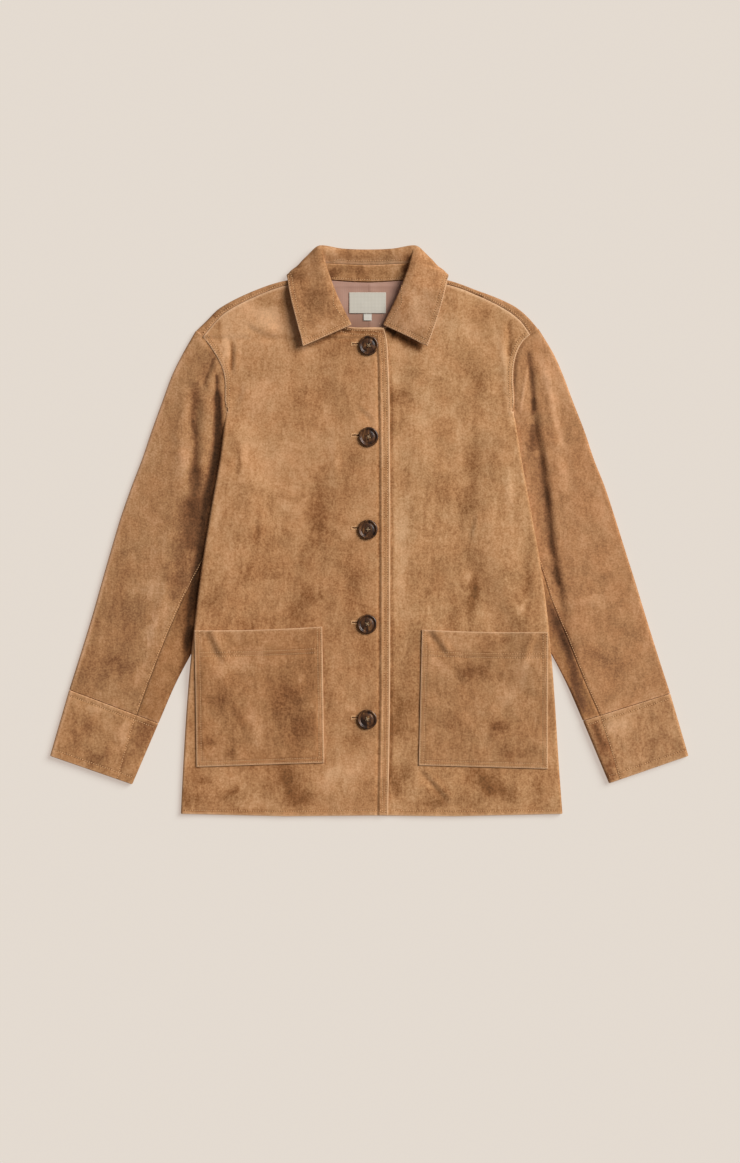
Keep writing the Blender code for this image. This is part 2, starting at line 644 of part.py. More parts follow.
def lining():
    """The lining of the back where the open neck shows it."""
    across, up = 10, 8
    low = np.c_[np.linspace(-LINING_HALF, LINING_HALF, across + 1) + COLLAR_MIDDLE,
                np.full(across + 1, LINING_LOW)]
    high = low.copy()
    high[:, 1] = np.interp(high[:, 0], [p[0] for p in BACK_NECK], [p[1] for p in BACK_NECK]) - 0.7
    inner = low[0] + even(up)[:, None] * (high[0] - low[0])
    outer = low[-1] + even(up)[:, None] * (high[-1] - low[-1])
    sheet = with_height(patch(low, high, inner, outer), lining_height)
    cloth("back_lining", [sheet], LINING_WALL, finish("rose_satin", (173, 134, 117), 0.45))


def tag(name, box, colour):
    """A small woven tag lying on the lining."""
    x, y = np.meshgrid(np.linspace(box[0], box[2], 3), np.linspace(box[1], box[3], 4))
    lift = LINING_WALL / 2 + 0.5 + LABEL_WALL / 2
    sheet = np.dstack([x, y, lining_height(x, y) + lift])
    cloth(name, [sheet], LABEL_WALL, finish(name + "_tape", colour, 0.8))


def pocket(spec):
    """A patch pocket lying on its front, its mouth a little open in the middle."""
    side = -1 if spec.top_out[0] < 0 else 1
    across, up = 8, 7
    low = smooth_line([spec.low_in, spec.low_out], even(across))
    high = smooth_line([spec.top_in, spec.top_out], even(across))
    high[:, 1] -= POCKET_SAG * np.sin(math.pi * even(across))
    inner = smooth_line([spec.low_in, spec.top_in], even(up))
    outer = smooth_line([spec.low_out, spec.top_out], even(up))
    plan = patch(low, high, inner, outer)
    mouth = np.sin(math.pi * even(across))[None, :] * ease((even(up) - 0.6) / 0.4)[:, None]
    above = SUEDE / 2 + POCKET_CLEAR + SUEDE / 2
    z = over_front(side, plan[..., 0], plan[..., 1], above) + POCKET_MOUTH * mouth
    tan = finish(spec.name + "_suede", (162, 115, 77), 0.9)
    cloth(spec.name, [np.dstack([plan, z])], SUEDE, tan)


def button(number, y, horn):
    """A turned four-hole button with a raised rim and a dished middle."""
    profile = [(0.0, 0.0), (10.4, 0.0), (BUTTON_RADIUS, 1.7), (11.9, 3.7),
               (10.2, BUTTON_THICK), (8.2, 2.9), (0.0, 2.6)]
    bm = bmesh.new()
    verts = [bm.verts.new((r, 0.0, z)) for r, z in profile]
    edges = [bm.edges.new(pair) for pair in zip(verts, verts[1:])]
    bmesh.ops.spin(bm, geom=verts + edges, axis=(0, 0, 1), cent=(0, 0, 0), steps=15, angle=math.tau)
    bmesh.ops.remove_doubles(bm, verts=bm.verts, dist=0.01)
    bmesh.ops.recalc_face_normals(bm, faces=bm.faces)
    name = f"button_{number}"
    obj = place(name, bm, horn)
    drill = bmesh.new()
    for dx in (-BUTTON_HOLE_STEP, BUTTON_HOLE_STEP):
        for dy in (-BUTTON_HOLE_STEP, BUTTON_HOLE_STEP):
            made = bmesh.ops.create_cone(drill, cap_ends=True, segments=8, depth=9.0,
                                         radius1=BUTTON_HOLE_RADIUS, radius2=BUTTON_HOLE_RADIUS)
            bmesh.ops.translate(drill, verts=made["verts"], vec=(dx, dy, 1.5))
    cutter = place(name + "_drill", drill, horn)
    cutter.hide_render = True
    cutter.display_type = "WIRE"
    cut = obj.modifiers.new("Thread holes", "BOOLEAN")
    cut.operation = "DIFFERENCE"
    cut.object = cutter
    z = float(front_height(-1, BUTTON_X, y)) + SUEDE / 2 + 0.4
    obj.location = (BUTTON_X * MM, y * MM, z * MM)
    obj.rotation_euler = (0.0, 0.0, math.radians(45.0 + 17.0 * number))
    cutter.parent = obj
    return obj


def centre_on_origin():
    """Moves everything so that the origin is at the bottom centre of the whole jacket."""
    bpy.context.view_layer.update()
    graph = bpy.context.evaluated_depsgraph_get()
    low, high = np.full(3, np.inf), np.full(3, -np.inf)
    shown = [obj for obj in bpy.context.scene.objects if not obj.hide_render]
    for obj in shown:
        mesh = obj.evaluated_get(graph).to_mesh()
        points = np.empty(len(mesh.vertices) * 3)
        mesh.vertices.foreach_get("co", points)
        world = np.array(obj.matrix_world)
        points = points.reshape(-1, 3) @ world[:3, :3].T + world[:3, 3]
        low, high = np.minimum(low, points.min(axis=0)), np.maximum(high, points.max(axis=0))
        obj.evaluated_get(graph).to_mesh_clear()
    middle = (low + high) / 2
    for obj in shown:
        obj.location.x -= middle[0]
        obj.location.y -= middle[1]
        obj.location.z -= low[2]


for old in list(bpy.data.objects):
    bpy.data.objects.remove(old)

front(-1)
front(1)
back()
for hand in (-1, 1):
    sleeve(hand)
    cuff(hand)
collar()
lining()
tag("neck_label", LABEL_BOX, (206, 200, 187))
tag("size_tab", TAB_BOX, (214, 208, 196))
for one in POCKETS:
    pocket(one)
dark_horn = finish("dark_horn", (62, 40, 30), 0.25)
for index, level in enumerate(BUTTON_LEVELS, 1):
    button(index, level, dark_horn)
centre_on_origin()
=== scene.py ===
"""Looks of a suede button-front jacket laid flat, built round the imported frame.

Left and right are as seen from above: left is -X. Plan sizes and heights are in millimetres,
on the pattern's own drawing, and are moved to the frame's origin and turned to metres where a
mesh is made. Each cloth piece is the middle surface of its wall, with its folds, creases and
stitch channels in the points themselves, and gets both faces and a rolled edge from shell().
"""

import math
from collections import namedtuple

import bmesh
import bpy
import numpy as np
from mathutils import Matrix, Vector, bvhtree, kdtree


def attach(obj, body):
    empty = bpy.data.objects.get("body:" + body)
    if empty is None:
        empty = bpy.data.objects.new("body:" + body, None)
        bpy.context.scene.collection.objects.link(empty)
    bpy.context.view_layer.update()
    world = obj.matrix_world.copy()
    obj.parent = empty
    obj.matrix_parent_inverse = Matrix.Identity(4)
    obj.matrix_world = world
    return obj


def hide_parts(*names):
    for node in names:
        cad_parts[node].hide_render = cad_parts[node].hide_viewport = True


MM = 0.001
PIECES = {}
WHICH = {-1: "left", 1: "right"}
# From the pattern's drawing to the frame, whose origin is at the jacket's bottom centre.
TO_FRAME = np.array([-0.10, -0.56, 0.0])

# Walls of the cloth and the gap kept where two pieces meet.
SUEDE = 1.6
CUFF_WALL = 2.0
COLLAR_WALL = 1.8
LINING_WALL = 1.0
LABEL_WALL = 1.0
LINING_CLEAR = 0.4
LABEL_CLEAR = 0.5
SEAM_GAP = 0.3
ARMHOLE_GAP = 0.5
ARMHOLE_TUCK = 1.5
ARMHOLE_DROP = 1.4

# Body laid flat: the hollow between back and fronts, and the side folds that close it.
HOLLOW = 3.0
FRONT_RISE = SUEDE + HOLLOW + SUEDE / 2
FOLD_RADIUS = (SUEDE + HOLLOW) / 2
FOLD_REACH = FOLD_RADIUS + SUEDE / 2
HEM_LEVEL = -361.0
HEM_DROOP = 0.9
HEM_BOW = 1.2
HEM_HALF = 238.0
BACK_HEM_RISE = 2.0
OVERLAP_RISE = 0.7
UNDERLAP_DROP = 1.2

# Height of a sleeve beside the body and elsewhere, and how far the back rises over the sleeves
# and over the collar.
SLEEVE_PINCH = 3.5
SLEEVE_FULL = 6.8
LIFT_OVER_SLEEVE = 4.2
LIFT_OVER_COLLAR = 2.2

BUTTON_HOLE_RADIUS = 1.15
BUTTON_HOLE_STEP = 2.1
BUTTON_CLEAR = 0.4
BUTTON_THREAD = 0.2
THREAD_SUNK = 2.05
THREAD_RISE = 1.35
BUTTON_X = -3.4
BUTTON_LEVELS = (236.5, 120.3, 2.6, -117.6, -238.6)

# Side edges of the body, from the underarm down to the hem.
Level = namedtuple("Level", "y left right")
BODY_SIDES = [Level(*row) for row in (
    (153.0, -183.7, 183.4), (130.0, -186.0, 186.8), (92.0, -190.6, 192.7), (50.0, -198.2, 200.3),
    (0.0, -206.8, 209.6), (-60.0, -216.0, 219.8), (-110.0, -222.0, 226.0), (-155.0, -227.0, 230.4),
    (-210.0, -232.0, 234.8), (-300.0, -237.7, 240.6), (-359.0, -240.6, 245.0),
)]

# Armhole seam, from the underarm up to the fold of the shoulder.
Pair = namedtuple("Pair", "left_x left_y right_x right_y")
ARMHOLE = [Pair(*row) for row in (
    (-183.7, 153.0, 183.4, 153.0), (-184.2, 173.6, 182.9, 174.0), (-184.8, 195.5, 182.0, 193.0),
    (-189.1, 211.3, 182.9, 211.0), (-196.3, 224.7, 187.6, 229.5), (-204.9, 238.0, 194.6, 241.8),
    (-212.6, 247.4, 203.8, 250.4),
)]

# Shoulder seam on the front, from the armhole to the neck.
SHOULDER_SEAM = [Pair(*row) for row in (
    (-212.6, 247.4, 203.8, 250.4), (-198.8, 264.3, 193.4, 265.6), (-187.0, 276.3, 181.2, 276.6),
    (-173.2, 285.4, 161.8, 288.4), (-151.4, 296.4, 129.0, 303.4), (-110.0, 312.0, 104.0, 312.6),
    (-86.5, 316.5, 80.5, 316.5),
)]

# Fold of the shoulder, the top outline of the body.
SHOULDER_FOLD = [Pair(*row) for row in (
    (-221.8, 254.9, 214.6, 257.4), (-208.5, 267.8, 200.7, 273.2), (-193.9, 282.3, 186.1, 285.4),
    (-180.6, 290.7, 161.8, 297.2), (-151.4, 304.8, 129.0, 309.4), (-112.5, 318.0, 104.0, 318.4),
    (-86.5, 322.4, 80.5, 322.4),
)]

# Neckline of the fronts, from the placket to the shoulder seam.
NECKLINE = [Pair(*row) for row in (
    (17.7, 258.9, -31.5, 259.6), (-10.0, 259.0, 0.0, 259.6), (-27.0, 260.2, 21.5, 260.8),
    (-41.5, 264.8, 36.0, 265.2), (-61.5, 278.0, 56.0, 278.2), (-76.0, 294.0, 70.5, 294.0),
    (-83.5, 306.0, 77.8, 306.0), (-86.5, 316.5, 80.5, 316.5),
)]

# Placket edge of the left front, and the hidden edge of the right front under it.
FRONT_EDGES = [Level(*row) for row in (
    (-361.0, 23.0, -31.5), (-214.0, 25.4, -32.0), (-74.0, 25.6, -32.0), (104.0, 25.3, -32.0),
    (212.0, 23.4, -32.0), (246.0, 21.0, -31.6), (258.9, 17.7, -31.5),
)]

# Back of the neck, under the collar stand, from left to right.
BACK_NECK = [(-86.5, 322.2), (-66.0, 321.4), (-48.0, 319.8), (-25.0, 318.0), (-3.0, 317.2),
             (19.0, 318.0), (42.0, 319.8), (60.0, 321.4), (80.5, 322.2)]

# Cross sections of the sleeve below the armhole. tuck is how far the inner edge lies under the
# side of the body, seam is the share of the width from the inner edge to the front seam, and
# bow is how much of the armhole's curve the section still has.
Section = namedtuple("Section", "in_y tuck out_y out_left out_right seam_left seam_right bow")
SLEEVE = [Section(*row) for row in (
    (135.0, 5.0, 226.0, 238.2, 233.6, 0.055, 0.055, 0.62),
    (114.0, 8.0, 198.0, 252.0, 246.0, 0.06, 0.06, 0.34),
    (95.0, 13.0, 165.0, 264.2, 258.4, 0.08, 0.08, 0.16),
    (74.0, 22.0, 127.0, 278.0, 273.2, 0.11, 0.11, 0.06),
    (50.0, 35.0, 92.0, 289.9, 284.9, 0.12, 0.13, 0.02),
    (18.0, 42.0, 57.0, 303.3, 298.8, 0.165, 0.19, 0.0),
    (-20.0, 44.0, 18.0, 317.0, 311.6, 0.22, 0.245, 0.0),
    (-60.0, 40.0, -24.0, 329.6, 324.8, 0.279, 0.271, 0.0),
    (-98.0, 26.0, -63.0, 340.8, 337.2, 0.302, 0.240, 0.0),
    (-146.0, 4.0, -111.0, 354.4, 351.8, 0.286, 0.210, 0.0),
    (-193.0, -16.5, -159.0, 369.2, 366.8, 0.258, 0.183, 0.0),
)]

# Cuff corners: the seam line with the sleeve, then the open end.
Corner = namedtuple("Corner", "in_left in_left_y out_left out_left_y "
                              "in_right in_right_y out_right out_right_y")
CUFF = [
    Corner(-269.0, -244.0, -382.6, -201.3, 270.9, -240.9, 382.0, -206.0),
    Corner(-302.3, -321.5, -406.9, -285.2, 304.0, -320.2, 405.1, -285.2),
]
CUFF_HEIGHT = 7.9
CUFF_SEAM = {-1: 0.243, 1: 0.19}
UNDER_SEAM = 0.80

# Cross sections of half the collar, from its front end to the middle of the back. out is the
# distance from the collar's middle line. Each section runs from the neck seam and the stand's
# upper seam, over the roll, down the outside and, at the back, in underneath to the outer edge.
COLLAR_MIDDLE = -3.0
STAND_PATHS = [
    # neck seam (out, y, z), upper seam (out, y, z)
    ((24.0, 261.6, 6.7), (25.2, 263.4, 8.2)),
    ((47.4, 272.0, 7.0), (43.6, 277.4, 9.6)),
    ((67.3, 288.6, 7.2), (57.0, 295.6, 11.2)),
    ((78.4, 304.6, 7.4), (65.0, 312.6, 11.8)),
    ((82.0, 316.0, 7.0), (69.0, 327.0, 11.8)),
    ((81.8, 320.6, 6.4), (69.8, 331.6, 11.5)),
    ((80.4, 323.6, 5.6), (69.0, 335.0, 11.0)),
    ((70.0, 323.0, 4.6), (63.5, 339.4, 10.3)),
    ((56.0, 321.6, 4.1), (53.0, 340.7, 9.5)),
    ((33.0, 319.3, 4.0), (32.0, 339.8, 8.4)),
    ((0.0, 317.9, 4.0), (0.0, 338.5, 7.8)),
]
LEAF_PATHS = [
    # roll, crown, shoulder, edge fold, underside, outer edge
    ((21.0, 262.6, 9.2), (27.0, 259.4, 10.2), (40.0, 253.5, 10.9),
     (54.6, 247.0, 11.1), (69.4, 240.4, 11.0), (82.2, 234.8, 10.8)),
    ((32.2, 284.6, 13.6), (37.0, 281.8, 15.2), (48.0, 274.0, 14.6),
     (60.0, 265.4, 13.4), (72.5, 256.2, 12.2), (84.8, 247.0, 11.4)),
    ((40.0, 301.4, 16.0), (45.5, 299.6, 17.6), (56.0, 293.4, 16.6),
     (68.0, 286.0, 14.8), (80.0, 278.8, 13.2), (91.6, 272.0, 12.0)),
    ((47.0, 319.4, 17.2), (52.5, 318.6, 18.8), (63.0, 314.6, 17.6),
     (75.0, 309.6, 15.6), (87.0, 304.4, 13.9), (98.2, 299.6, 12.6)),
    ((53.0, 337.0, 16.8), (58.5, 336.8, 18.2), (70.0, 334.2, 16.6),
     (84.0, 330.2, 13.8), (95.6, 326.6, 11.2), (102.3, 323.8, 8.4)),
    ((54.6, 343.0, 16.6), (60.2, 342.6, 17.8), (72.0, 339.2, 15.4),
     (87.0, 334.4, 10.6), (98.6, 329.4, 4.6), (102.2, 322.6, 0.6)),
    ((56.0, 348.0, 16.2), (61.5, 347.6, 17.2), (73.0, 344.0, 14.6),
     (86.6, 338.4, 9.8), (91.6, 334.6, 4.2), (96.6, 310.5, 0.9)),
    ((58.0, 355.8, 15.2), (62.5, 355.6, 15.6), (72.0, 351.4, 12.2),
     (79.6, 346.4, 7.4), (80.0, 340.6, 2.6), (86.0, 301.0, 1.0)),
    ((55.8, 358.0, 14.0), (58.9, 361.2, 12.4), (60.4, 362.6, 9.0),
     (59.8, 360.8, 5.4), (58.6, 351.4, 2.2), (63.0, 294.8, 1.0)),
    ((31.6, 353.6, 12.2), (31.2, 357.9, 10.6), (31.2, 358.5, 7.6),
     (31.4, 356.4, 4.8), (32.0, 345.0, 2.0), (35.0, 291.8, 1.0)),
    ((0.0, 352.4, 11.4), (0.0, 356.9, 9.8), (0.0, 357.5, 7.0),
     (0.0, 355.4, 4.4), (0.0, 344.0, 2.0), (0.0, 291.0, 1.0)),
]

# Lining that shows inside the neck, its label and the size tab.
LINING_HALF = 74.0
LINING_LOW = 226.0
LABEL_BOX = (-26.4, 277.4, 20.4, 304.0)
TAB_BOX = (-8.3, 268.0, 2.3, 276.9)

# Patch pockets: corners and the rise of the mouth in its middle.
Pocket = namedtuple("Pocket", "name top_out top_in low_in low_out")
POCKETS = [
    Pocket("pocket_left", (-222.9, -125.5), (-60.6, -120.9), (-58.0, -294.0), (-220.6, -299.3)),
    Pocket("pocket_right", (226.2, -127.4), (66.0, -124.6), (61.8, -297.2), (226.1, -301.8)),
]
POCKET_SAG = 1.6
POCKET_MOUTH = 0.9
POCKET_CLEAR = 0.6

# What each panel was cut to: width, length and area in metres, all round on a tube, what it lies on,
# and the name that its stitches and the painted shadows of its needle holes share.
Cut = namedtuple("Cut", "wide long area over sewn")
CUTS = {
    "front_left": Cut(0.272, 0.680, 0.156, ["front_right", "back"], "front_left_{}"),
    "front_right": Cut(0.284, 0.680, 0.161, ["back"], "front_right_{}"),
    "back": Cut(0.490, 0.700, 0.285, ["under_sleeve_left", "under_sleeve_right", "collar"],
                "shoulder_{}"),
    "top_sleeve_left": Cut(0.175, 0.530, 0.060, ["under_sleeve_left"], "sleeve_seam_{}_left"),
    "top_sleeve_right": Cut(0.175, 0.530, 0.059, ["under_sleeve_right"], "sleeve_seam_{}_right"),
    "under_sleeve_left": Cut(0.185, 0.520, 0.057, [], None),
    "under_sleeve_right": Cut(0.185, 0.520, 0.055, [], None),
    "cuff_left": Cut(0.237, 0.088, 0.0200, [], "cuff_{}_left"),
    "cuff_right": Cut(0.236, 0.085, 0.0192, [], "cuff_{}_right"),
    "collar": Cut(0.440, 0.105, 0.0305, ["collar_stand", "front_left", "front_right"], "collar_{}"),
    "collar_stand": Cut(0.335, 0.022, 0.0054, ["back"], "collar_stand_{}"),
    "pocket_left": Cut(0.165, 0.178, 0.0284, ["front_left"], "pocket_left_{}"),
    "pocket_right": Cut(0.165, 0.178, 0.0284, ["front_right"], "pocket_right_{}"),
    "back_lining": Cut(0.148, 0.095, 0.0137, ["back"], None),
    "neck_label": Cut(0.0468, 0.0266, None, ["back_lining"], None),
    "size_tab": Cut(0.0106, 0.0125, 0.00011, ["back_lining"], None),
}


def ease(t):
    """0 to 1 with soft ends."""
    t = np.clip(t, 0.0, 1.0)
    return t * t * (3.0 - 2.0 * t)


def unit(vectors):
    """The same ways, each with a length of 1."""
    return vectors / np.maximum(np.linalg.norm(vectors, axis=-1, keepdims=True), 1e-9)


def even(count):
    return np.linspace(0.0, 1.0, count + 1)


def lengths_along(line):
    """Length of a line from its start to each of its points."""
    return np.r_[0.0, np.cumsum(np.linalg.norm(np.diff(line, axis=0), axis=1))]


def shares_along(line):
    at = lengths_along(line)
    return at / at[-1]


def curve_at(rows, slope, k, t, step=1.0):
    """A smooth curve through rows, at the share t of the way from row k to the next one."""
    return ((1 + 2 * t) * (1 - t) ** 2 * rows[k] + t * (1 - t) ** 2 * step * slope[k]
            + t * t * (3 - 2 * t) * rows[k + 1] + t * t * (t - 1) * step * slope[k + 1])


def smooth_line(points, shares):
    """Points at the given shares of the length of a smooth line through the given points."""
    points = np.array(points, float)
    at = lengths_along(points)
    want = np.asarray(shares) * at[-1]
    k = np.clip(np.searchsorted(at, want, "right") - 1, 0, len(at) - 2)
    step = (at[k + 1] - at[k])[:, None]
    return curve_at(points, np.gradient(points, at, axis=0), k, (want - at[k])[:, None] / step, step)


def side_of(rows, side):
    """The left or the right points of a table of pairs."""
    return [tuple(getattr(row, f"{WHICH[side]}_{axis}") for axis in "xy") for row in rows]


def level_points(rows, side):
    """The left or the right points of an edge that is given by levels."""
    return [(getattr(row, WHICH[side]), row.y) for row in rows]


def level_x(rows, side, y):
    """The x of an edge that is given by levels."""
    xs, ys = zip(*level_points(sorted(rows), side))
    return np.interp(y, ys, xs)


def sleeve_head(side):
    """The armhole seam, and the end of the shoulder's fold above it."""
    return side_of(ARMHOLE, side) + side_of(SHOULDER_FOLD, side)[:1]


def facing(line, way):
    """Unit normals of a plan line, on its side that looks the given way."""
    along = np.gradient(line, axis=0)
    normal = unit(np.stack([-along[:, 1], along[:, 0]], axis=1))
    return np.where((normal @ np.array(way, float))[:, None] > 0, normal, -normal)


def hem_edge(x):
    """The y of the hem, which bows down a little in the middle of each front."""
    return HEM_LEVEL - HEM_BOW * np.sin(math.pi * np.clip(np.abs(x) / HEM_HALF, 0, 1))


def sleeve_edge(y):
    """Distance from the middle to the hidden inner edge of a sleeve."""
    rows = sorted(SLEEVE)
    tuck = np.interp(y, [row.in_y for row in rows], [row.tuck for row in rows])
    return np.abs(level_x(BODY_SIDES, -1, y)) - tuck


def bed(x, y):
    """Height of the underside of the back: on the table, on a sleeve or on the collar."""
    x, y = np.asarray(x, float), np.asarray(y, float)
    ends = ease((150.0 - y) / 35.0) * ease((y + 222.0) / 50.0)
    edge = np.minimum(sleeve_edge(np.clip(y, -170.0, 100.0)), 215.0)
    sleeve = LIFT_OVER_SLEEVE * ends * ease((np.abs(x) - edge + 52.0) / 48.0)
    reach = ease((142.0 - np.abs(x - COLLAR_MIDDLE)) / 34.0)
    return sleeve + LIFT_OVER_COLLAR * reach * ease((y - 248.0) / 40.0)


def inside_side(x, y):
    """Distance from a point in to the nearer side edge of the body."""
    edge = np.where(x < 0, -level_x(BODY_SIDES, -1, y), level_x(BODY_SIDES, 1, y))
    return edge - np.abs(x)


def swell(x, y):
    """Wide, low waves of a front, none near its folds and its placket."""
    quiet = ease((np.abs(x) - 40.0) / 40.0) * ease((inside_side(x, y) - 12.0) / 50.0)
    return 0.4 * quiet * np.sin(x / 31.0 + y / 90.0) * np.sin(y / 47.0 - x / 120.0)


def front_height(side, x, y):
    """Height of the middle of a front's wall."""
    x, y = np.asarray(x, float), np.asarray(y, float)
    if side < 0:
        lap = OVERLAP_RISE * ease((x + 62.0) / 24.0)
    else:
        lap = -UNDERLAP_DROP * ease((62.0 - x) / 30.0)
    droop = HEM_DROOP * ease((HEM_LEVEL + 34.0 - y) / 34.0) * ease((inside_side(x, y) - 5.0) / 24.0)
    return bed(x, y) + FRONT_RISE + lap - droop + swell(x, y)


def over_front(side, x, y, above):
    """Height of a surface lying above a front's middle surface, round its side fold too."""
    reach = np.maximum(FOLD_REACH - inside_side(x, y), 0.0)
    radius = FOLD_RADIUS + above
    flat = front_height(side, x, y)
    return flat - radius + above + np.sqrt(radius**2 - reach**2)


def patch(low, high, inner, outer):
    """Plan grid between four border lines: low and high across, inner and outer up the sides."""
    u = (shares_along(low) + shares_along(high)) / 2
    v = (shares_along(inner) + shares_along(outer)) / 2
    u, v = u[None, :, None], v[:, None, None]
    corners = ((1 - u) * (1 - v) * low[0] + u * (1 - v) * low[-1]
               + (1 - u) * v * high[0] + u * v * high[-1])
    return ((1 - v) * low[None] + v * high[None]
            + (1 - u) * inner[:, None] + u * outer[:, None] - corners)


def relaxed(plan, rounds):
    """The same grid with its inner points spread evenly, so that no cell folds over at a corner."""
    plan = plan.copy()
    for _ in range(rounds):
        plan[1:-1, 1:-1] = (plan[:-2, 1:-1] + plan[2:, 1:-1] + plan[1:-1, :-2] + plan[1:-1, 2:]) / 4
    return plan


def fold(points, outward, radius, start, end, count):
    """Rows of a fold about each point: the angle is 0 straight down and 180 straight up."""
    rows = []
    for angle in np.linspace(start, end, count + 1):
        turn = math.radians(angle)
        plan = points[:, :2] + outward * radius * math.sin(turn)
        rows.append(np.c_[plan, points[:, 2] - radius * math.cos(turn)])
    return np.array(rows)


def sleeve_height(x, y):
    """Height of a sleeve's top: pinched beside the body, full elsewhere."""
    beside = ease((-inside_side(x, y) - 3.0) / 42.0)
    full = np.maximum.reduce([beside, ease((y - 120.0) / 42.0), ease((-168.0 - y) / 50.0)])
    return SLEEVE_PINCH + (SLEEVE_FULL - SLEEVE_PINCH) * full


def sleeve_sections(side, count):
    """Plan lines of the sleeve's cross sections, inner edge first, with their seam shares."""
    armhole = smooth_line(sleeve_head(side), even(count))
    tuck = ARMHOLE_TUCK + 2.4 * ease((0.25 - shares_along(armhole)) / 0.25)
    armhole = armhole - facing(armhole, (side, 0)) * tuck[:, None]
    armhole[:2] -= [(0.0, 1.5), (0.0, 0.6)]
    armhole[-1] += (side * 0.5, -0.6)
    share = shares_along(armhole)[:, None]
    bow = armhole - (armhole[0] + share * (armhole[-1] - armhole[0]))
    lines, seams = [armhole], [SLEEVE[0].seam_left]
    for row in SLEEVE:
        start = np.array((level_x(BODY_SIDES, side, row.in_y) - side * row.tuck, row.in_y))
        end = np.array((side * getattr(row, "out_" + WHICH[side]), row.out_y))
        lines.append(start + share * (end - start) + bow * row.bow)
        seams.append(getattr(row, "seam_" + WHICH[side]))
    top, end = (cuff_line(row, side) for row in CUFF)
    lines.append(top[0] - unit(end - top)[0] * SEAM_GAP + even(count)[:, None] * (top[1] - top[0]))
    seams.append(CUFF_SEAM[side])
    return np.array(lines), np.array(seams)


def cuff_line(row, side):
    """The inner and the outer corner of a cuff."""
    return np.array([[getattr(row, f"{edge}_{WHICH[side]}{axis}") for axis in ("", "_y")]
                     for edge in ("in", "out")])


def section_points(line, parts, wall, height, relief):
    """Points round a flat tube's cross section.

    parts lists what to make in turn: ("top", from, to, count), ("low", from, to, count) or
    ("out" or "in", count) for the fold at the outer or the inner edge. From and to are shares of
    the line, or "out" or "in" for where that fold starts.
    """
    length = lengths_along(line)[-1]
    found = {}
    for edge, end in (("out", 1.0), ("in", 0.0)):
        tip = smooth_line(line, [end])[0]
        radius = (float(height(tip[0], tip[1])) - wall) / 2
        inset = (radius + wall / 2) / length
        share = 1.0 - inset if edge == "out" else inset
        near = smooth_line(line, [share])[0]
        found[edge] = (share, near, unit(tip - near), radius)
    points = []
    for kind, *spec in parts:
        if kind in ("top", "low"):
            start, end = (found[at][0] if isinstance(at, str) else at for at in spec[:2])
            share = np.linspace(start, end, spec[2] + 1)
            plan = smooth_line(line, share)
            z = np.full(len(plan), wall / 2)
            if kind == "top":
                quiet = (ease((share - found["in"][0]) * length / FOLD_QUIET)
                         * ease((found["out"][0] - share) * length / FOLD_QUIET))
                z = height(plan[:, 0], plan[:, 1]) - wall / 2
                z = z + quiet * relief(plan[:, 0], plan[:, 1])
                for at, key in ((0, spec[0]), (-1, spec[1])):
                    if isinstance(key, str):
                        z[at] = 2 * found[key][3] + wall / 2
        else:
            _, near, toward, radius = found[kind]
            turns = np.radians(np.linspace(180.0, 0.0, spec[0] + 1)[1:-1])
            if kind == "in":
                turns = turns[::-1]
            plan = near + np.outer(radius * np.sin(turns), toward)
            z = wall / 2 + radius - radius * np.cos(turns)
        points.append(np.c_[plan, z])
    return np.concatenate(points)


def refined(values, count):
    """More rows between the given ones, smooth along the piece."""
    values = np.array(values, float)
    flat = values.reshape(len(values), -1)
    want = np.linspace(0, len(values) - 1, count + 1)
    k = np.clip(want.astype(int), 0, len(values) - 2)
    made = curve_at(flat, np.gradient(flat, axis=0), k, (want - k)[:, None])
    return made.reshape((count + 1,) + values.shape[1:])


# Mesh cells in millimetres, the turns that roll an edge, and the rows along a sleeve.
BODY_CELL = 2.4
EDGE_CELL = 1.4
EDGE_ROLLS = 4
BACK_CELL = 3.9
SLEEVE_ROWS = 175

# Cells of the coarse net that each panel is drawn on, and the lengths that its fine cells divide.
NET_NECK = 8
NET_SHOULDER = 8
NET_SIDE = 18
NET_ARMHOLE = 9
NET_BACK_ARMHOLE = 8
SIDE_LONG = 512.0
ARMHOLE_LONG = 112.0
BACK_ARMHOLE_LONG = 125.0
SHOULDER_LONG = 150.0
INNER_WIDE = 133.0
OUTER_WIDE = 112.0
BACK_NECK_WIDE = 160.0

# How far from a sleeve's or a cuff's folds its creases begin.
FOLD_QUIET = 12.0

# Topstitching: lockstitch pitch, thread, the channel it pulls in, and where its rows run.
STITCH_PITCH = 3.0
STITCH_ON = 0.62
THREAD_RADIUS = 0.42
CHANNEL_DEPTH = 0.55
CHANNEL_WIDTH = 1.2
# The next two: how wide the darkening along a row of stitches is, partly pressed nap and partly painted
# shade in its channel, and how far the lighter edge reaches, partly wear and partly a painted
# highlight.
PRESSED_AND_SHADED_WIDTH = 1.0
WORN_HIGHLIT_EDGE_REACH = 1.3
PLACKET_ROWS = (3.1, 7.5)
PLACKET_BAND = 12.8
PLACKET_RIDGE = 9.9
PLACKET_TROUGH = 14.0
PLACKET_TOP = 259.5
ARMHOLE_ROWS = (1.8, 5.8)
ARMHOLE_BAND = 7.8
SEAM_DEPTH = 0.55
HEM_ROW = 6.6
HEM_BAND = 8.6
SHOULDER_RISE = 2.3
SLEEVE_ROW = 1.9
POCKET_ROWS = (2.0, 6.4)
POCKET_HEM_ROWS = (28.0, 33.0)
CUFF_LONG = 83.0
CUFF_TOP_ROW = 6.3
CUFF_HEM_ROW = 8.9
CUFF_SEAM_END = {-1: 0.17, 1: 0.13}
COLLAR_ROWS = (1.9, 6.2)
WING_LIFT = 7.4

# Buttonholes, and how each button has turned on its thread.
SLIT_FROM = -23.4
SLIT_RISE = 2.1
BUTTON_TURNS = (4.0, 25.0, 40.0, 12.0, 70.0)
BUTTON_ASIDE = (1.7, 1.7, 0.8, 0.0, 0.0)

# Satin behind the neck: the pressed pleat and the tuck across it.
PLEAT_X = -1.3
TUCK_Y = 310.5

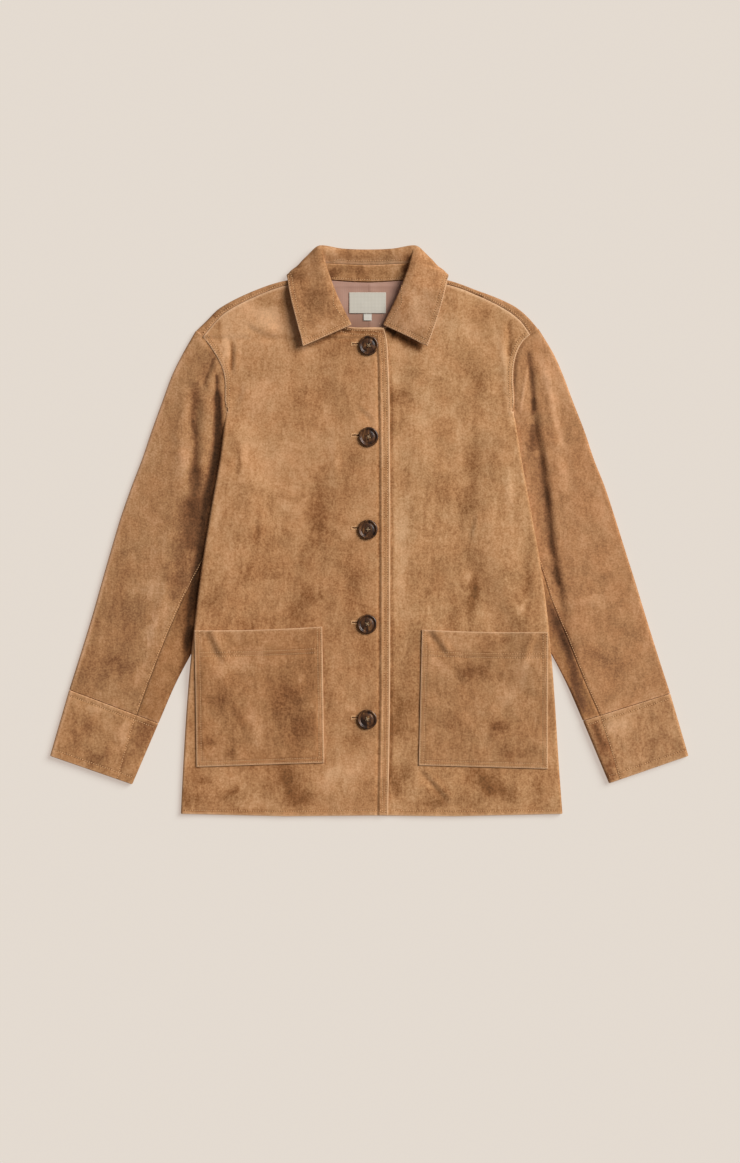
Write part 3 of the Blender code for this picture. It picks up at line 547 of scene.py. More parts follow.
# Creases by piece: half width, rise (a trough below 0), lean (its crest is on the left of the way
# it runs above 0, on the right below 0), and the line.
CREASES = {
    "front_left": [
        (3.2, -2.3, 0.6, [(-175, 243), (-175.8, 222), (-176.8, 200)]),
        (2.6, -1.3, -0.6, [(-191.6, 266), (-190.8, 251), (-190, 236)]),
        (2.8, -1.9, 0.8, [(-158, 263), (-149, 256), (-136.6, 250.9), (-117, 246.5)]),
        (4.2, -1.4, 0.7, [(-161, 186), (-167, 172), (-174, 156)]),
        (4, -1.1, 0.6, [(-168, 112), (-169.6, 92), (-170, 66)]),
        (2.6, -1.3, 0.8, [(-18, 157), (-5, 148), (5, 137)]),
        (5, 0.7, 0, [(-44, 124), (-44.5, 90), (-43, 54)]),
        (2.4, -0.8, 0.7, [(-145, 14), (-143, 0), (-143.5, -16)]),
        (6, 0.7, 0, [(-205, -10), (-209, -50), (-213, -92)]),
        (6, -0.7, 0.4, [(-66, 40), (-68, 5), (-65, -34)]),
        (5, 0.6, 0, [(-22, -300), (-48, -318), (-66, -344)]),
    ],
    "front_right": [
        (4.6, -2, -0.7, [(176.6, 270), (178.4, 246), (177.4, 220)]),
        (5, 1, 0, [(166.4, 250), (170, 225), (173.4, 196), (176.7, 160), (182, 126)]),
        (3.2, -1.9, 0.8, [(62, -302), (82, -325), (102, -348)]),
        (2.6, -1.5, 0.8, [(133, 22), (130, 6), (126, -10)]),
        (6, -0.8, 0.5, [(131, -56), (130, -80), (134, -108)]),
        (5, -0.7, 0.6, [(196, -30), (200, -60), (203, -96)]),
        (5, 0.6, 0, [(176, 84), (176.5, 60), (179, 34)]),
    ],
    "pocket_left": [
        (5, -2.6, 0.8, [(-210, -127), (-201, -146), (-188, -170)]),
        (5, 0.6, 0, [(-144, -222), (-147, -244), (-143, -268)]),
    ],
    "pocket_right": [
        (4.2, -2.4, 0.8, [(73, -126), (84, -141), (98, -160)]),
        (4.2, -2.2, -0.8, [(216, -128), (209, -146), (200, -168)]),
    ],
    "sleeve_left": [
        (3.2, -2, 0.9, [(-195, 225), (-202.7, 208.9), (-208.1, 195.3), (-211.4, 180)]),
        (6, -2.3, 0.8, [(-221, 190), (-221.5, 160), (-223.5, 125), (-223, 88), (-222, 50)]),
        (4.6, -2.2, 0, [(-194, 212), (-194, 180), (-193, 132), (-197, 92), (-205, 50)]),
        (6, 1, 0, [(-262, -30), (-256, -56), (-268, -100), (-278, -148)]),
        (7, -0.9, 0.4, [(-246, -10), (-245, -50), (-256, -100), (-266, -136)]),
        (4, 0.7, 0, [(-300, -62), (-284, -70), (-268, -66)]),
        (4, 0.6, 0, [(-246, 40), (-252, 10), (-262, -20)]),
        (8, 2.4, 0, [(-200, 204), (-206, 170), (-208.5, 130), (-211, 90), (-216, 40)]),
        (10, 2.2, 0, [(-232, 200), (-238, 150), (-240, 100), (-242, 40)]),
    ],
    "sleeve_right": [
        (4.6, -2.7, 0.75, [
         (199, 244), (203, 215), (205.6, 190), (207.6, 165), (208.8, 142), (211, 120), (216, 101),
         (219.6, 84), (222, 64), (224.8, 44), (227.6, 16), (230, -8), (232.4, -30), (237, -52),
         (242, -84)]),
        (9, 2.4, 0, [(222, 226), (226, 190), (229, 140), (238, 90), (247, 30)]),
        (3, 1, 0, [(201, 212), (198.5, 196), (194.5, 172), (192, 150)]),
        (6, -1.6, 0.3, [(235, -48), (240, -90), (250, -150)]),
        (3.2, -0.8, 0.7, [(258, -99), (276, -94), (292, -97)]),
        (4, 0.8, 0, [(252, -74), (272, -62), (296, -44)]),
        (5, 0.7, 0, [(250, 120), (262, 70), (270, 20)]),
    ],
    "back": [
        (7, 3, 0, [(-120, 200), (-110, 60), (-124, -90)]),
        (7, 3, 0, [(96, 150), (112, 10), (100, -160)]),
        (8, 2.4, 0, [(-20, 120), (-8, -40), (-26, -230)]),
    ],
}

# How the nap lies, by piece, with some painted shade along valleys, beside the body and under the
# sleeves, and some painted highlights on lit slopes: strokes, as x, y, length, width, turn and
# lightening (light above 0, dark below 0).
NAP_MARKS_AND_PAINTED_LIGHT = {
    "front_left": [
        (-130, -200, 120, 150, 0, -0.2), (-110, 270, 110, 60, 0, 0.12),
        (-40, -30, 60, 90, 90, -0.1), (-145, 280, 34, 11, -22, 0.55), (-116, 262, 22, 7, -15, 0.35),
        (-120, 290, 18, 6, -15, -0.35), (-184, 232, 20, 5, 80, 0.35), (-131, 178, 34, 17, 70, 0.24),
        (-154, 110, 42, 22, 80, 0.26), (-122, 88, 36, 22, 60, 0.2), (-44.5, 88, 46, 6, 90, 0.34),
        (-60, 156, 10, 4, 85, 0.35), (-89, 167, 26, 15, 75, -0.24), (-66, 14, 42, 12, 88, -0.42),
        (-24, 90, 26, 12, 60, -0.3), (-40, 236, 16, 9, 20, -0.26), (-26, 2, 12, 9, 0, 0.3),
        (-144, 2, 22, 4, 80, -0.22), (-170, 88, 30, 4, 88, -0.3), (-200, 20, 46, 8, 82, 0.26),
        (-176, -30, 30, 6, 70, 0.3), (-156, -52, 24, 5, 62, -0.16), (-190, -84, 20, 12, 40, -0.2),
        (-111, -100, 20, 14, 80, 0.28), (-86, -92, 20, 13, 30, -0.34),
        (-124, -113, 30, 6, 3, -0.26), (-100, 40, 40, 16, 82, 0.16), (-20, -62, 30, 13, 85, -0.24),
        (-40, -170, 30, 10, 85, 0.22), (-23, -222, 11, 9, 0, 0.34), (-16, -262, 18, 8, 10, -0.3),
        (-5, -160, 20, 12, 80, -0.24), (-24, -302, 34, 18, 20, 0.4), (-56, -312, 26, 7, 60, 0.34),
        (-106, -320, 26, 17, -60, -0.5), (-90, -340, 16, 9, 20, -0.4),
        (-172, -316, 26, 13, 10, 0.24), (-176, -328, 16, 3, 38, -0.55), (-146, -344, 24, 6, 5, 0.3),
        (-226, -340, 14, 11, 0, -0.34), (-212, -318, 14, 5, -10, -0.3),
        (-196, 262, 14, 7, 50, -0.22),
    ],
    "front_right": [
        (130, -220, 120, 130, 0, -0.2), (35, 202, 30, 9, 88, 0.34), (38, 171, 13, 10, 20, -0.38),
        (34, 128, 22, 7, 85, -0.2), (72, 130, 52, 13, 82, 0.22), (136, 205, 26, 13, -60, -0.16),
        (141, 178, 18, 9, 80, -0.14), (150, 272, 26, 12, -30, -0.24), (98, 270, 30, 16, -20, 0.2),
        (131, 74, 52, 7, 88, -0.27), (120, 20, 40, 7, 86, -0.24), (36, 24, 60, 12, 90, 0.34),
        (176, 60, 25, 5, 90, 0.4), (110, 100, 40, 11, 80, 0.18), (92, 42, 34, 12, 84, -0.16),
        (131, -78, 30, 9, 88, -0.6), (126, -56, 9, 6, 80, 0.45), (146, -104, 14, 10, 80, 0.3),
        (193, -94, 12, 4, 60, 0.55), (202, -64, 38, 7, 88, -0.34), (40, -60, 56, 10, 90, 0.3),
        (42, -226, 30, 13, 80, -0.34), (38, -312, 26, 13, 40, -0.4), (64, -336, 16, 6, 0, 0.34),
        (86, -345, 12, 8, 20, -0.6), (152, -322, 28, 13, -40, -0.55), (122, -316, 20, 9, 0, 0.16),
        (162, -347, 18, 7, 0, 0.3), (214, -330, 24, 9, 80, -0.26),
    ],
    "pocket_left": [
        (-102, -204, 44, 22, 58, -0.42), (-90, -188, 12, 9, 40, 0.45),
        (-168, -168, 20, 9, 30, 0.32), (-190, -212, 20, 11, 70, -0.34),
        (-145, -244, 30, 9, 85, 0.4), (-88, -256, 28, 19, 80, -0.45), (-203, -268, 11, 8, 30, -0.5),
        (-176, -282, 12, 7, 70, -0.5), (-134, -150, 22, 8, 85, 0.28), (-62, -210, 60, 4, 90, 0.3),
        (-74, -140, 16, 9, 80, -0.2), (-168, -232, 18, 7, -60, -0.34),
    ],
    "pocket_right": [
        (134, -181, 28, 11, -10, -0.52), (161, -248, 14, 8, 70, -0.52),
        (89, -170, 26, 7, -45, 0.34), (199, -170, 22, 7, 55, 0.34), (112, -246, 26, 18, 50, -0.2),
        (176, -216, 24, 11, 60, 0.22), (186, -282, 30, 8, 0, -0.28), (112, -138, 22, 8, 0, 0.2),
        (160, -140, 18, 7, 0, -0.26),
    ],
    "top_sleeve_left": [
        (-278, -74, 24, 13, 20, 0.42), (-276, -122, 22, 6, 80, 0.55), (-292, -182, 20, 6, 70, 0.34),
        (-336, -168, 34, 18, 10, -0.3), (-318, -100, 26, 14, 40, -0.22),
        (-223, 120, 70, 6, 90, -0.3), (-238, 60, 60, 9, 84, 0.22), (-236, 226, 24, 10, 60, 0.2),
        (-208, 214, 24, 10, 70, -0.34), (-212, 60, 40, 8, 82, 0.1), (-262, 110, 40, 14, 70, 0.12),
        (-300, 0, 40, 14, 70, -0.16),
    ],
    "top_sleeve_right": [
        (206, 110, 20, 7, -86, -0.3), (240, 190, 46, 9, -72, 0.3), (276, -88, 26, 6, 6, 0.4),
        (300, 10, 54, 10, -72, 0.24), (240, -60, 40, 7, -78, -0.5), (300, -160, 32, 15, -30, -0.22),
        (254, 60, 50, 10, -78, 0.18),
    ],
    "under_sleeve": [
        (246, -130, 50, 9, -68, -0.5), (-228, -90, 40, 10, 62, -0.55),
    ],
    "cuff_left": [
        (-346, -222, 20, 8, -20, 0.32), (-344, -288, 12, 9, 30, -0.48),
        (-364, -252, 16, 9, 60, -0.3), (-313, -260, 24, 8, 68, 0.36),
        (-286, -252, 18, 9, 60, -0.34),
    ],
    "cuff_right": [
        (322, -245, 26, 10, 20, 0.3), (362, -264, 18, 11, 60, -0.26), (294, -262, 26, 7, -66, -0.4),
    ],
    "collar": [
        (-72, 300, 34, 12, 50, -0.16), (-60, 262, 20, 8, 20, 0.26), (-92, 326, 18, 9, 60, -0.16),
        (-27, 352, 12, 4, 90, -0.4), (27, 350, 12, 4, 90, -0.35), (-44, 352, 12, 5, 90, 0.3),
        (52, 300, 34, 14, -50, 0.34), (72, 262, 26, 10, -20, 0.3), (42, 258, 12, 9, -25, 0.45),
    ],
    "collar_stand": [
        (0, 328, 60, 5, 0, -0.2), (-17, 337, 9, 4, 0, -0.3), (-50, 332, 8, 5, 60, -0.3),
        (-34, 324, 12, 5, 10, 0.3), (30, 334, 8, 4, 40, 0.25),
    ],
    "back": [
        (-196, 282, 30, 6, 42, -0.35),
    ],
}

# Painted shade in hollows and creases and beside and under folds, edges and the collar, and painted
# highlights along lit folds and the sleeves' outer edges, with a few broad tone changes and a pale
# stitched row, by piece: half width, lightening (light above 0, dark below 0) and line.
PAINTED_SHADE_AND_LIGHT = {
    "sleeve_left": [
        (1.6, -0.25, [
         (-224, 256), (-213.8, 247.6), (-205.6, 237.6), (-197.6, 223.8), (-190.8, 210.4),
         (-187, 196), (-186.6, 182)]),
        (1.8, -0.55, [(-196.4, 223), (-202.7, 208.9), (-208.1, 195.3), (-210.6, 184)]),
        (2.2, -1.0, [(-194.6, 202), (-194.6, 192), (-194.2, 176), (-193.6, 158)]),
        (5.2, -1.6, [
         (-193.8, 186), (-193.2, 150), (-193.4, 125), (-194.8, 110), (-197, 95), (-199.6, 80),
         (-202.6, 65), (-205.4, 50), (-208.2, 35), (-210.5, 20)]),
        (4.8, -1.12, [
         (-207, 40), (-210.5, 20), (-213, 4), (-215.6, -18), (-218.4, -40), (-222.4, -62),
         (-225.6, -82), (-228.4, -102), (-231.6, -130), (-238, -160)]),
        (11, -0.55, [(-219, 90), (-221, 50), (-224, 10), (-228, -30)]),
        (15, -0.5, [(-234, 50), (-233, 20), (-236, -10), (-240, -40), (-244, -64), (-249, -96)]),
        (4.2, -0.36, [(-221, 190), (-222.8, 168), (-223.6, 150), (-222.6, 110), (-223, 70)]),
        (6, -0.06, [(-206, 176), (-206.6, 140), (-207.6, 90)]),
        (4.5, -0.8, [(-228, -116), (-231, -142), (-235, -164), (-243, -188)]),
        (2.4, -0.45, [(-242, -180), (-253, -208), (-266, -238)]),
        (38, -0.12, [(-290, -40), (-312, -95), (-332, -160), (-345, -215)]),
        (3, 0.85, [
         (-226, 250), (-238.2, 226), (-252, 198), (-264, 165), (-278, 127), (-289.7, 92),
         (-303.3, 57), (-317, 18), (-329.3, -24), (-339.8, -63), (-352.6, -111), (-367.2, -159),
         (-384, -213)]),
    ],
    "cuff_right": [
        (8, -0.42, [(282, -238), (292, -265), (300, -290), (309, -322)]),
    ],
    "cuff_left": [
        (3, 0.85, [(-378, -192), (-392.6, -243), (-408, -296)]),
    ],
    "front_left": [
        (3, -0.6, [(-80, 234), (-60, 243), (-40, 253.5), (-26, 258)]),
        (3, -0.9, [(-36, 257), (-30, 256.4), (-22, 256)]),
        (4.5, -0.42, [(-24, 254.5), (-10, 254.5), (6, 254), (17, 253), (20, 244)]),
        (20, 0.28, [(-190, 250), (-150, 258), (-112, 266)]),
        (3, 0.55, [(-223.5, -120), (-232, -210), (-237.7, -300), (-241, -368)]),
        (1.7, -0.25, [(11, 238), (11.6, 100), (11.7, -74), (11.5, -214), (10, -352)]),
        (1.5, 0.3, [(14.6, 238), (16, 100), (16.2, -74), (16, -214), (14, -352)]),
        (1.1, 0.3, [(20.2, 250), (22.8, 212), (24.7, 104), (25, -74), (24.8, -214), (22.4, -361)]),
        (2, -0.6, [(-175.2, 243), (-175.9, 222), (-176.8, 203)]),
        (1.4, -0.35, [(-191.6, 266), (-190.8, 251), (-190, 237)]),
    ],
    "sleeve_right": [
        (2.2, -0.32, [
         (216.6, 258.6), (205, 251), (196, 242), (189, 229.4), (184.6, 211), (184, 194),
         (184.6, 176)]),
        (3.2, -0.66, [
         (201.4, 234), (203.6, 218), (205.2, 200), (207, 182), (208.4, 158), (208.8, 146)]),
        (4.2, -0.3, [(208, 170), (208.4, 152)]),
        (10, -0.36, [(207.6, 140), (210.4, 121), (213.4, 102)]),
        (3.8, -0.85, [
         (215.6, 104), (219.6, 86), (222.4, 62), (225.2, 44), (228, 20), (230.4, -6), (233, -34)]),
        (3.8, -0.5, [(231.6, -20), (236.6, -46), (242, -72)]),
        (6.5, -0.2, [(210, 100), (216, 62), (220, 30), (223, 0), (225.6, -30)]),
        (6.5, -0.6, [
         (233, -92), (242, -120), (249, -140), (256, -162), (259, -185), (267, -215), (278, -240)]),
        (4.6, 0.5, [
         (211, 234), (218.6, 213), (223.4, 197), (228, 180), (232, 165), (234.6, 150), (238, 134),
         (243, 116), (252, 98)]),
        (1.6, 0.5, [(201, 212), (198.5, 196), (194.5, 172), (192, 150)]),
    ],
    "collar": [
        (2.2, 0.6, [(-50, 345), (-30, 343.8), (-3, 343.2), (24, 343.8), (42, 345)]),
        (5, -0.6, [(49.5, 352), (46.5, 340), (44, 328)]),
        (24, -0.14, [(-96, 332), (-76, 296), (-62, 258)]),
    ],
    "front_right": [
        (20, 0.12, [(98, 260), (135, 255), (170, 250)]),
        (24, -0.13, [(40, -336), (130, -338), (225, -336)]),
        (3.6, -1.3, [(20, 259), (26, 255), (33, 251)]),
        (5.2, -0.95, [(26, 253), (40, 245.5), (50, 240.5), (58, 236.5), (67, 231.5)]),
        (1.8, -0.45, [
         (20.4, 252), (25.8, 212), (27.8, 104), (28.1, -74), (27.8, -214), (25.4, -358)]),
        (2.8, -0.5, [(177, 272), (178.6, 248), (177.4, 220)]),
        (4.2, 0.4, [
         (166.4, 252), (169.4, 228), (172.3, 208), (174.2, 184), (176.7, 160), (182, 126)]),
    ],
}

# Studio: camera height, lens and aim, the lamp and the even light.
CAMERA_X = 0.0
CAMERA_Y = -0.0641
CAMERA_LENS = 100.0
CAMERA_HEIGHT = 4.113
LAMP_FROM = (0.66, 0.43, 0.66)
LAMP_POWER = 4.15
LAMP_SPREAD = 38.0
LAMP_TINT = (0.985, 0.985, 0.975)
SKY_TINT = (1.0, 0.945, 0.925, 1.0)
SKY_POWER = 0.19
TABLE_HALF = 12.0
TABLE_TOP = -0.0004


def waves(x, y, size, seed):
    """Irregular soft waves of about one size in millimetres, mostly between -1 and 1."""
    total = np.zeros(np.shape(x))
    for k in range(7):
        turn = seed * 1.7 + k * 2.399
        pace = math.tau / (size * (0.7 + 0.11 * k))
        total = total + np.sin((x * math.cos(turn) + y * math.sin(turn)) * pace + seed * 5.1 + k * 1.3)
    return total / 3.5


def reach(line, where):
    """For each point: its distance to a line, the share of the line's length there, and its side,
    1 to the left of the way the line runs and -1 to the right."""
    line, where = np.asarray(line, float), np.asarray(where, float)
    at = lengths_along(line)
    nearest, share = np.full(where.shape[:-1], np.inf), np.zeros(where.shape[:-1])
    hand = np.ones(where.shape[:-1])
    for a, b, start, end in zip(line, line[1:], at, at[1:]):
        t = np.clip((where - a) @ (b - a) / ((b - a) @ (b - a)), 0.0, 1.0)
        off = where - a - t[..., None] * (b - a)
        gap = np.linalg.norm(off, axis=-1)
        left = np.where((b - a)[0] * off[..., 1] - (b - a)[1] * off[..., 0] < 0, -1.0, 1.0)
        hand = np.where(gap < nearest, left, hand)
        share = np.where(gap < nearest, start + t * (end - start), share)
        nearest = np.minimum(gap, nearest)
    return nearest, share / at[-1], hand


def creased(piece, x, y):
    """Height that the creases of a piece add: soft troughs and ridges, uneven along their length.
    One that leans runs out softly on one side and has a crest on the other."""
    z = np.zeros(np.shape(x))
    for number, (half_width, rise, lean, points) in enumerate(CREASES.get(piece, ())):
        gap, share, hand = reach(smooth_line(points, even(14)), np.stack([x, y], axis=-1))
        taper = np.sin(math.pi * np.clip(share, 0.0, 1.0)) ** 0.7
        uneven = 0.8 + 0.2 * waves(x, y, 26.0, number)
        aside = gap * hand * (1.0 if lean >= 0 else -1.0)
        width = np.where((aside < 0) & (lean != 0), 1.8, 1.0) * half_width
        crest = abs(lean) * np.exp(-((aside / half_width - 1.7) / 1.2) ** 2)
        z = z + rise * taper * uneven * (np.exp(-(gap / width) ** 2) - 0.8 * crest)
    return z


def channelled(lines, where):
    """Height that the rows of stitches take away, each in a shallow channel it pulls in."""
    z = np.zeros(np.shape(where)[:-1])
    for line in lines:
        gap = reach(line, where)[0]
        z = z - CHANNEL_DEPTH * np.exp(-(gap / CHANNEL_WIDTH) ** 2)
    return z


def steps(length, coarse, fine=None, low=0.0, high=0.0):
    """Shares of a length from 0 to 1, in fine steps near its start and its end."""
    at = [0.0]
    while at[-1] < length - 1e-6:
        near = at[-1] < low or at[-1] > length - high
        at.append(at[-1] + (fine if fine and near else coarse))
    return np.array(at) / at[-1]


def finer(grid, corners, shares):
    """More rows of a grid, smooth between its corner rows, at the given shares of each stretch."""
    made = []
    for low, high, want in zip(corners, corners[1:], shares):
        part = grid[low:high + 1].reshape(high - low + 1, -1)
        at = np.asarray(want) * (high - low)
        k = np.clip(at.astype(int), 0, high - low - 1)
        rows = curve_at(part, np.gradient(part, axis=0), k, (at - k)[:, None])
        made.append(rows if high == corners[-1] else rows[:-1])
    return np.concatenate(made).reshape((-1,) + grid.shape[1:])


def finer_across(grid, corners, shares):
    return np.swapaxes(finer(np.swapaxes(grid, 0, 1), corners, shares), 0, 1)


def welded(grids, closed):
    """Points and quads of grids that share borders."""
    points, quads, at = [], [], 0
    for grid in grids:
        index = np.arange(grid.shape[0] * grid.shape[1]).reshape(grid.shape[:2]) + at
        at += index.size
        if closed:
            index = np.c_[index, index[:, :1]]
        corner = [index[:-1, :-1], index[:-1, 1:], index[1:, 1:], index[1:, :-1]]
        quads.append(np.stack(corner, axis=-1).reshape(-1, 4))
        points.append(grid.reshape(-1, 3))
    points = np.concatenate(points)
    _, first, back_to = np.unique(np.round(points, 3), axis=0, return_index=True, return_inverse=True)
    return points[first], back_to.reshape(-1)[np.concatenate(quads)]


def placed(name, data):
    """A new object, linked into the scene."""
    obj = bpy.data.objects.new(name, data)
    bpy.context.scene.collection.objects.link(obj)
    return obj


def mesh_object(name, points, faces, material):
    """A mesh in the frame from points in millimetres, riding on the jacket."""
    mesh = bpy.data.meshes.new(name)
    mesh.from_pydata(((np.asarray(points) + TO_FRAME) * MM).tolist(), [], faces)
    mesh.validate()
    mesh.shade_smooth()
    mesh.materials.append(material)
    obj = placed(name, mesh)
    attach(obj, "root")
    PIECES[name] = obj
    return obj


def shell(name, grids, wall, material, closed=False, flip=False, rows=()):
    """A cloth piece in place of the node of its name: both faces of its wall and a rolled edge, with
    its nap and its painted shade and highlights, its edge lightened partly by wear and partly by a
    painted highlight, and its stitch lines darkened partly by pressed nap and partly by painted shade."""
    points, quads = welded(grids, closed)
    if flip:
        quads = quads[:, ::-1]
    a, b, c, d = (points[quads[:, k]] for k in range(4))
    across = np.cross(c - a, d - b)
    normal = np.zeros_like(points)
    for k in range(4):
        np.add.at(normal, quads[:, k], across)
    normal = unit(normal)
    edges = np.concatenate([quads[:, [k, (k + 1) % 4]] for k in range(4)])
    owner = np.tile(np.arange(len(quads)), 4)
    real = edges[:, 0] != edges[:, 1]
    edges, owner = edges[real], owner[real]
    _, which, uses = np.unique(np.sort(edges, axis=1), axis=0, return_inverse=True, return_counts=True)
    rim = uses[which.reshape(-1)] == 1
    rim_edges, rim_owner = edges[rim], owner[rim]
    outward = np.zeros_like(points)
    out = unit(np.cross(points[rim_edges[:, 1]] - points[rim_edges[:, 0]], across[rim_owner]))
    for k in range(2):
        np.add.at(outward, rim_edges[:, k], out)
    outward = unit(outward)
    half = wall / 2
    inner = points - outward * half
    border = np.unique(rim_edges)
    place_of = np.full(len(points), -1)
    place_of[border] = np.arange(len(border))
    all_points = [inner + normal * half, inner - normal * half]
    rings = [border]
    for k in range(1, EDGE_ROLLS):
        turn = math.pi * k / EDGE_ROLLS
        all_points.append(inner[border] + outward[border] * half * math.sin(turn)
                          + normal[border] * half * math.cos(turn))
        rings.append(2 * len(points) + (k - 1) * len(border) + np.arange(len(border)))
    rings.append(border + len(points))
    faces = quads.tolist() + (quads[:, ::-1] + len(points)).tolist()
    a, b = place_of[rim_edges[:, 0]], place_of[rim_edges[:, 1]]
    for ring, below in zip(rings, rings[1:]):
        faces += np.stack([ring[b], ring[a], below[a], below[b]], axis=1).tolist()
    faces = [list(dict.fromkeys(face)) for face in faces]
    cloth = np.concatenate(all_points)
    cloth[:, 2] = np.maximum(cloth[:, 2], 0.0)
    obj = mesh_object(name, cloth, [f for f in faces if len(f) > 2], material)
    tree = kdtree.KDTree(len(border))
    for k, point in enumerate(points[border]):
        tree.insert(point, k)
    tree.balance()
    gap = np.array([tree.find(point)[2] for point in points])
    # Lighter towards open edges: partly wear, partly a painted highlight.
    rubbed = np.exp(-gap / WORN_HIGHLIT_EDGE_REACH)
    # Darker along rows of stitches: partly pressed nap, partly painted shade in their channels.
    pressed = np.zeros(len(points))
    for row in rows:
        gap = reach(row, points[:, :np.shape(row)[1]])[0]
        pressed = np.maximum(pressed, np.exp(-(gap / PRESSED_AND_SHADED_WIDTH) ** 2))
    for label, value in (("rubbed", rubbed), ("pressed", pressed), ("nap", brushed(name, points))):
        spread = np.concatenate([value, value] + [value[border]] * (EDGE_ROLLS - 1))
        layer = obj.data.attributes.new(label, "FLOAT", "POINT")
        layer.data.foreach_set("value", spread.astype(np.float32))
    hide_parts(name)
    return obj


def brushed(piece, points):
    """How the nap lies, with the painted shade and painted highlights of the tables added: below 0
    dark, above 0 light.
    """
    x, y = points[:, 0], points[:, 1]
    bent_x = x + 4.0 * waves(x, y, 38.0, 2.0) + 1.6 * waves(x, y, 13.0, 7.0)
    bent_y = y + 4.0 * waves(x, y, 34.0, 5.0) + 1.6 * waves(x, y, 11.0, 3.0)
    nap = np.zeros(len(points))
    marks = sum((NAP_MARKS_AND_PAINTED_LIGHT[key] for key in NAP_MARKS_AND_PAINTED_LIGHT if piece.startswith(key)), [])
    for mark_x, mark_y, length, width, angle, lighten in marks:
        turn = math.radians(angle)
        dx, dy = bent_x - mark_x, bent_y - mark_y
        along = dx * math.cos(turn) + dy * math.sin(turn)
        aside = -dx * math.sin(turn) + dy * math.cos(turn)
        nap += lighten * np.exp(-(along / length) ** 2 - (aside / width) ** 2)
    for width, lighten, line in sum((PAINTED_SHADE_AND_LIGHT[key] for key in PAINTED_SHADE_AND_LIGHT if key in piece), []):
        gap, share, _ = reach(smooth_line(line, even(30)), points[:, :2])
        nap += lighten * np.exp(-(gap / width) ** 2) * ease(share / 0.12) * ease((1 - share) / 0.12)
    return nap


def ray_hits(piece, plan):
    """Points and normals of a piece's upper face over plan points."""
    mesh = piece.data
    tree = bvhtree.BVHTree.FromPolygons([v.co for v in mesh.vertices],
                                        [p.vertices for p in mesh.polygons])
    found, normals = [], []
    for x, y in plan:
        start = Vector(((x + TO_FRAME[0]) * MM, (y + TO_FRAME[1]) * MM, 0.1))
        hit, normal, _, _ = tree.ray_cast(start, Vector((0.0, 0.0, -1.0)))
        found.append((math.nan,) * 3 if hit is None else np.array(hit) / MM - TO_FRAME)
        normals.append((0.0, 0.0, 1.0) if hit is None or normal.z < 0.05 else tuple(normal))
    return np.array(found), np.array(normals)


def points_at(line, lengths):
    """Points at the given lengths along a line, straight between its own points."""
    at = lengths_along(line)
    return np.stack([np.interp(lengths, at, line[:, k]) for k in range(line.shape[1])], axis=-1)


def every_stitch(lines, shares):
    """Plan points at the given shares of each stitch along rows of stitches."""
    plan = []
    for line in lines:
        line = np.asarray(line, float)
        length = lengths_along(line)[-1]
        count = max(int(round(length / STITCH_PITCH)), 1)
        dense = points_at(line, np.linspace(0.0, length, count * 10 + 1))
        at = (np.arange(count)[:, None] + shares) * 10
        low = np.clip(np.floor(at).astype(int), 0, count * 10 - 1)
        plan.append(dense[low] + (dense[low + 1] - dense[low]) * (at - low)[..., None])
    return np.concatenate(plan)


def laid_on(piece, plan, lift):
    """Lines of plan points dropped onto a piece's upper face and lifted off it, and their normals.
    Lines that miss it are left out."""
    found = ray_hits(piece, plan.reshape(-1, 2))
    points, normals = (part.reshape(plan.shape[:2] + (3,)) for part in found)
    sound = ~np.isnan(points).any(axis=(1, 2))
    lift = np.broadcast_to(lift, plan.shape[:2])[..., None]
    return (points + normals * lift)[sound], normals[sound]


def stitches(name, piece, lines):
    """Rows of lockstitches, each one sinking in at its ends, and dark beads of painted shadow in the
    needle holes between them.
    """
    centres, normals = laid_on(piece, every_stitch(lines, np.array([0.0, 0.3, 0.7, 1.0]) * STITCH_ON),
                               (-0.25, 0.16, 0.16, -0.25))
    tubes(name, centres, normals, np.array([0.6, 1.0, 1.0, 0.6]) * THREAD_RADIUS, THREAD)
    gap = STITCH_ON + (1.0 - STITCH_ON) * np.array([0.1, 0.5, 0.9])
    centres, normals = laid_on(piece, every_stitch(lines, gap), (-0.30, -0.22, -0.30))
    tubes(name.replace("topstitching", "needle_holes"), centres, normals,
          np.array([0.34, 0.52, 0.34]), PAINTED_HOLE_SHADOW)


def tubes(name, centres, normals, widths, material, sides=5):
    """Short closed tubes round lines of the same number of points."""
    along = unit(np.gradient(centres, axis=1))
    aside = unit(np.cross(along, normals))
    up = np.cross(aside, along)
    turns = np.arange(sides) * math.tau / sides
    ring = (aside[:, :, None] * np.cos(turns)[:, None] + up[:, :, None] * np.sin(turns)[:, None])
    points = centres[:, :, None] + ring * np.asarray(widths)[None, :, None, None]
    count, rows = centres.shape[:2]
    index = np.arange(count * rows * sides).reshape(count, rows, sides)
    nxt = np.roll(index, -1, axis=2)
    quads = np.stack([index[:, :-1], index[:, 1:], nxt[:, 1:], nxt[:, :-1]], axis=-1).reshape(-1, 4)
    faces = quads.tolist() + index[:, 0].tolist() + index[:, -1, ::-1].tolist()
    return mesh_object(name, points.reshape(-1, 3), faces, material)


# Rows of topstitching, as plan lines.


def placket_row(inset):
    """A row beside the placket edge that turns at the top corner and follows the neckline."""
    ys = np.linspace(HEM_LEVEL + 1.0, 255.5 - inset, 60)
    up = np.stack([level_x(FRONT_EDGES, -1, ys) - inset, ys], axis=1)
    across = smooth_line(side_of(NECKLINE, -1), np.linspace(0.12, 0.62, 16)) - (0.0, inset * 1.12)
    return np.r_[up, across[across[:, 0] < up[-1, 0] - 1.5]]


def beside(line, side, inset):
    """A line moved towards the middle of the body or away from it."""
    line = np.asarray(line, float)
    return line + facing(line, (-side, 0)) * inset


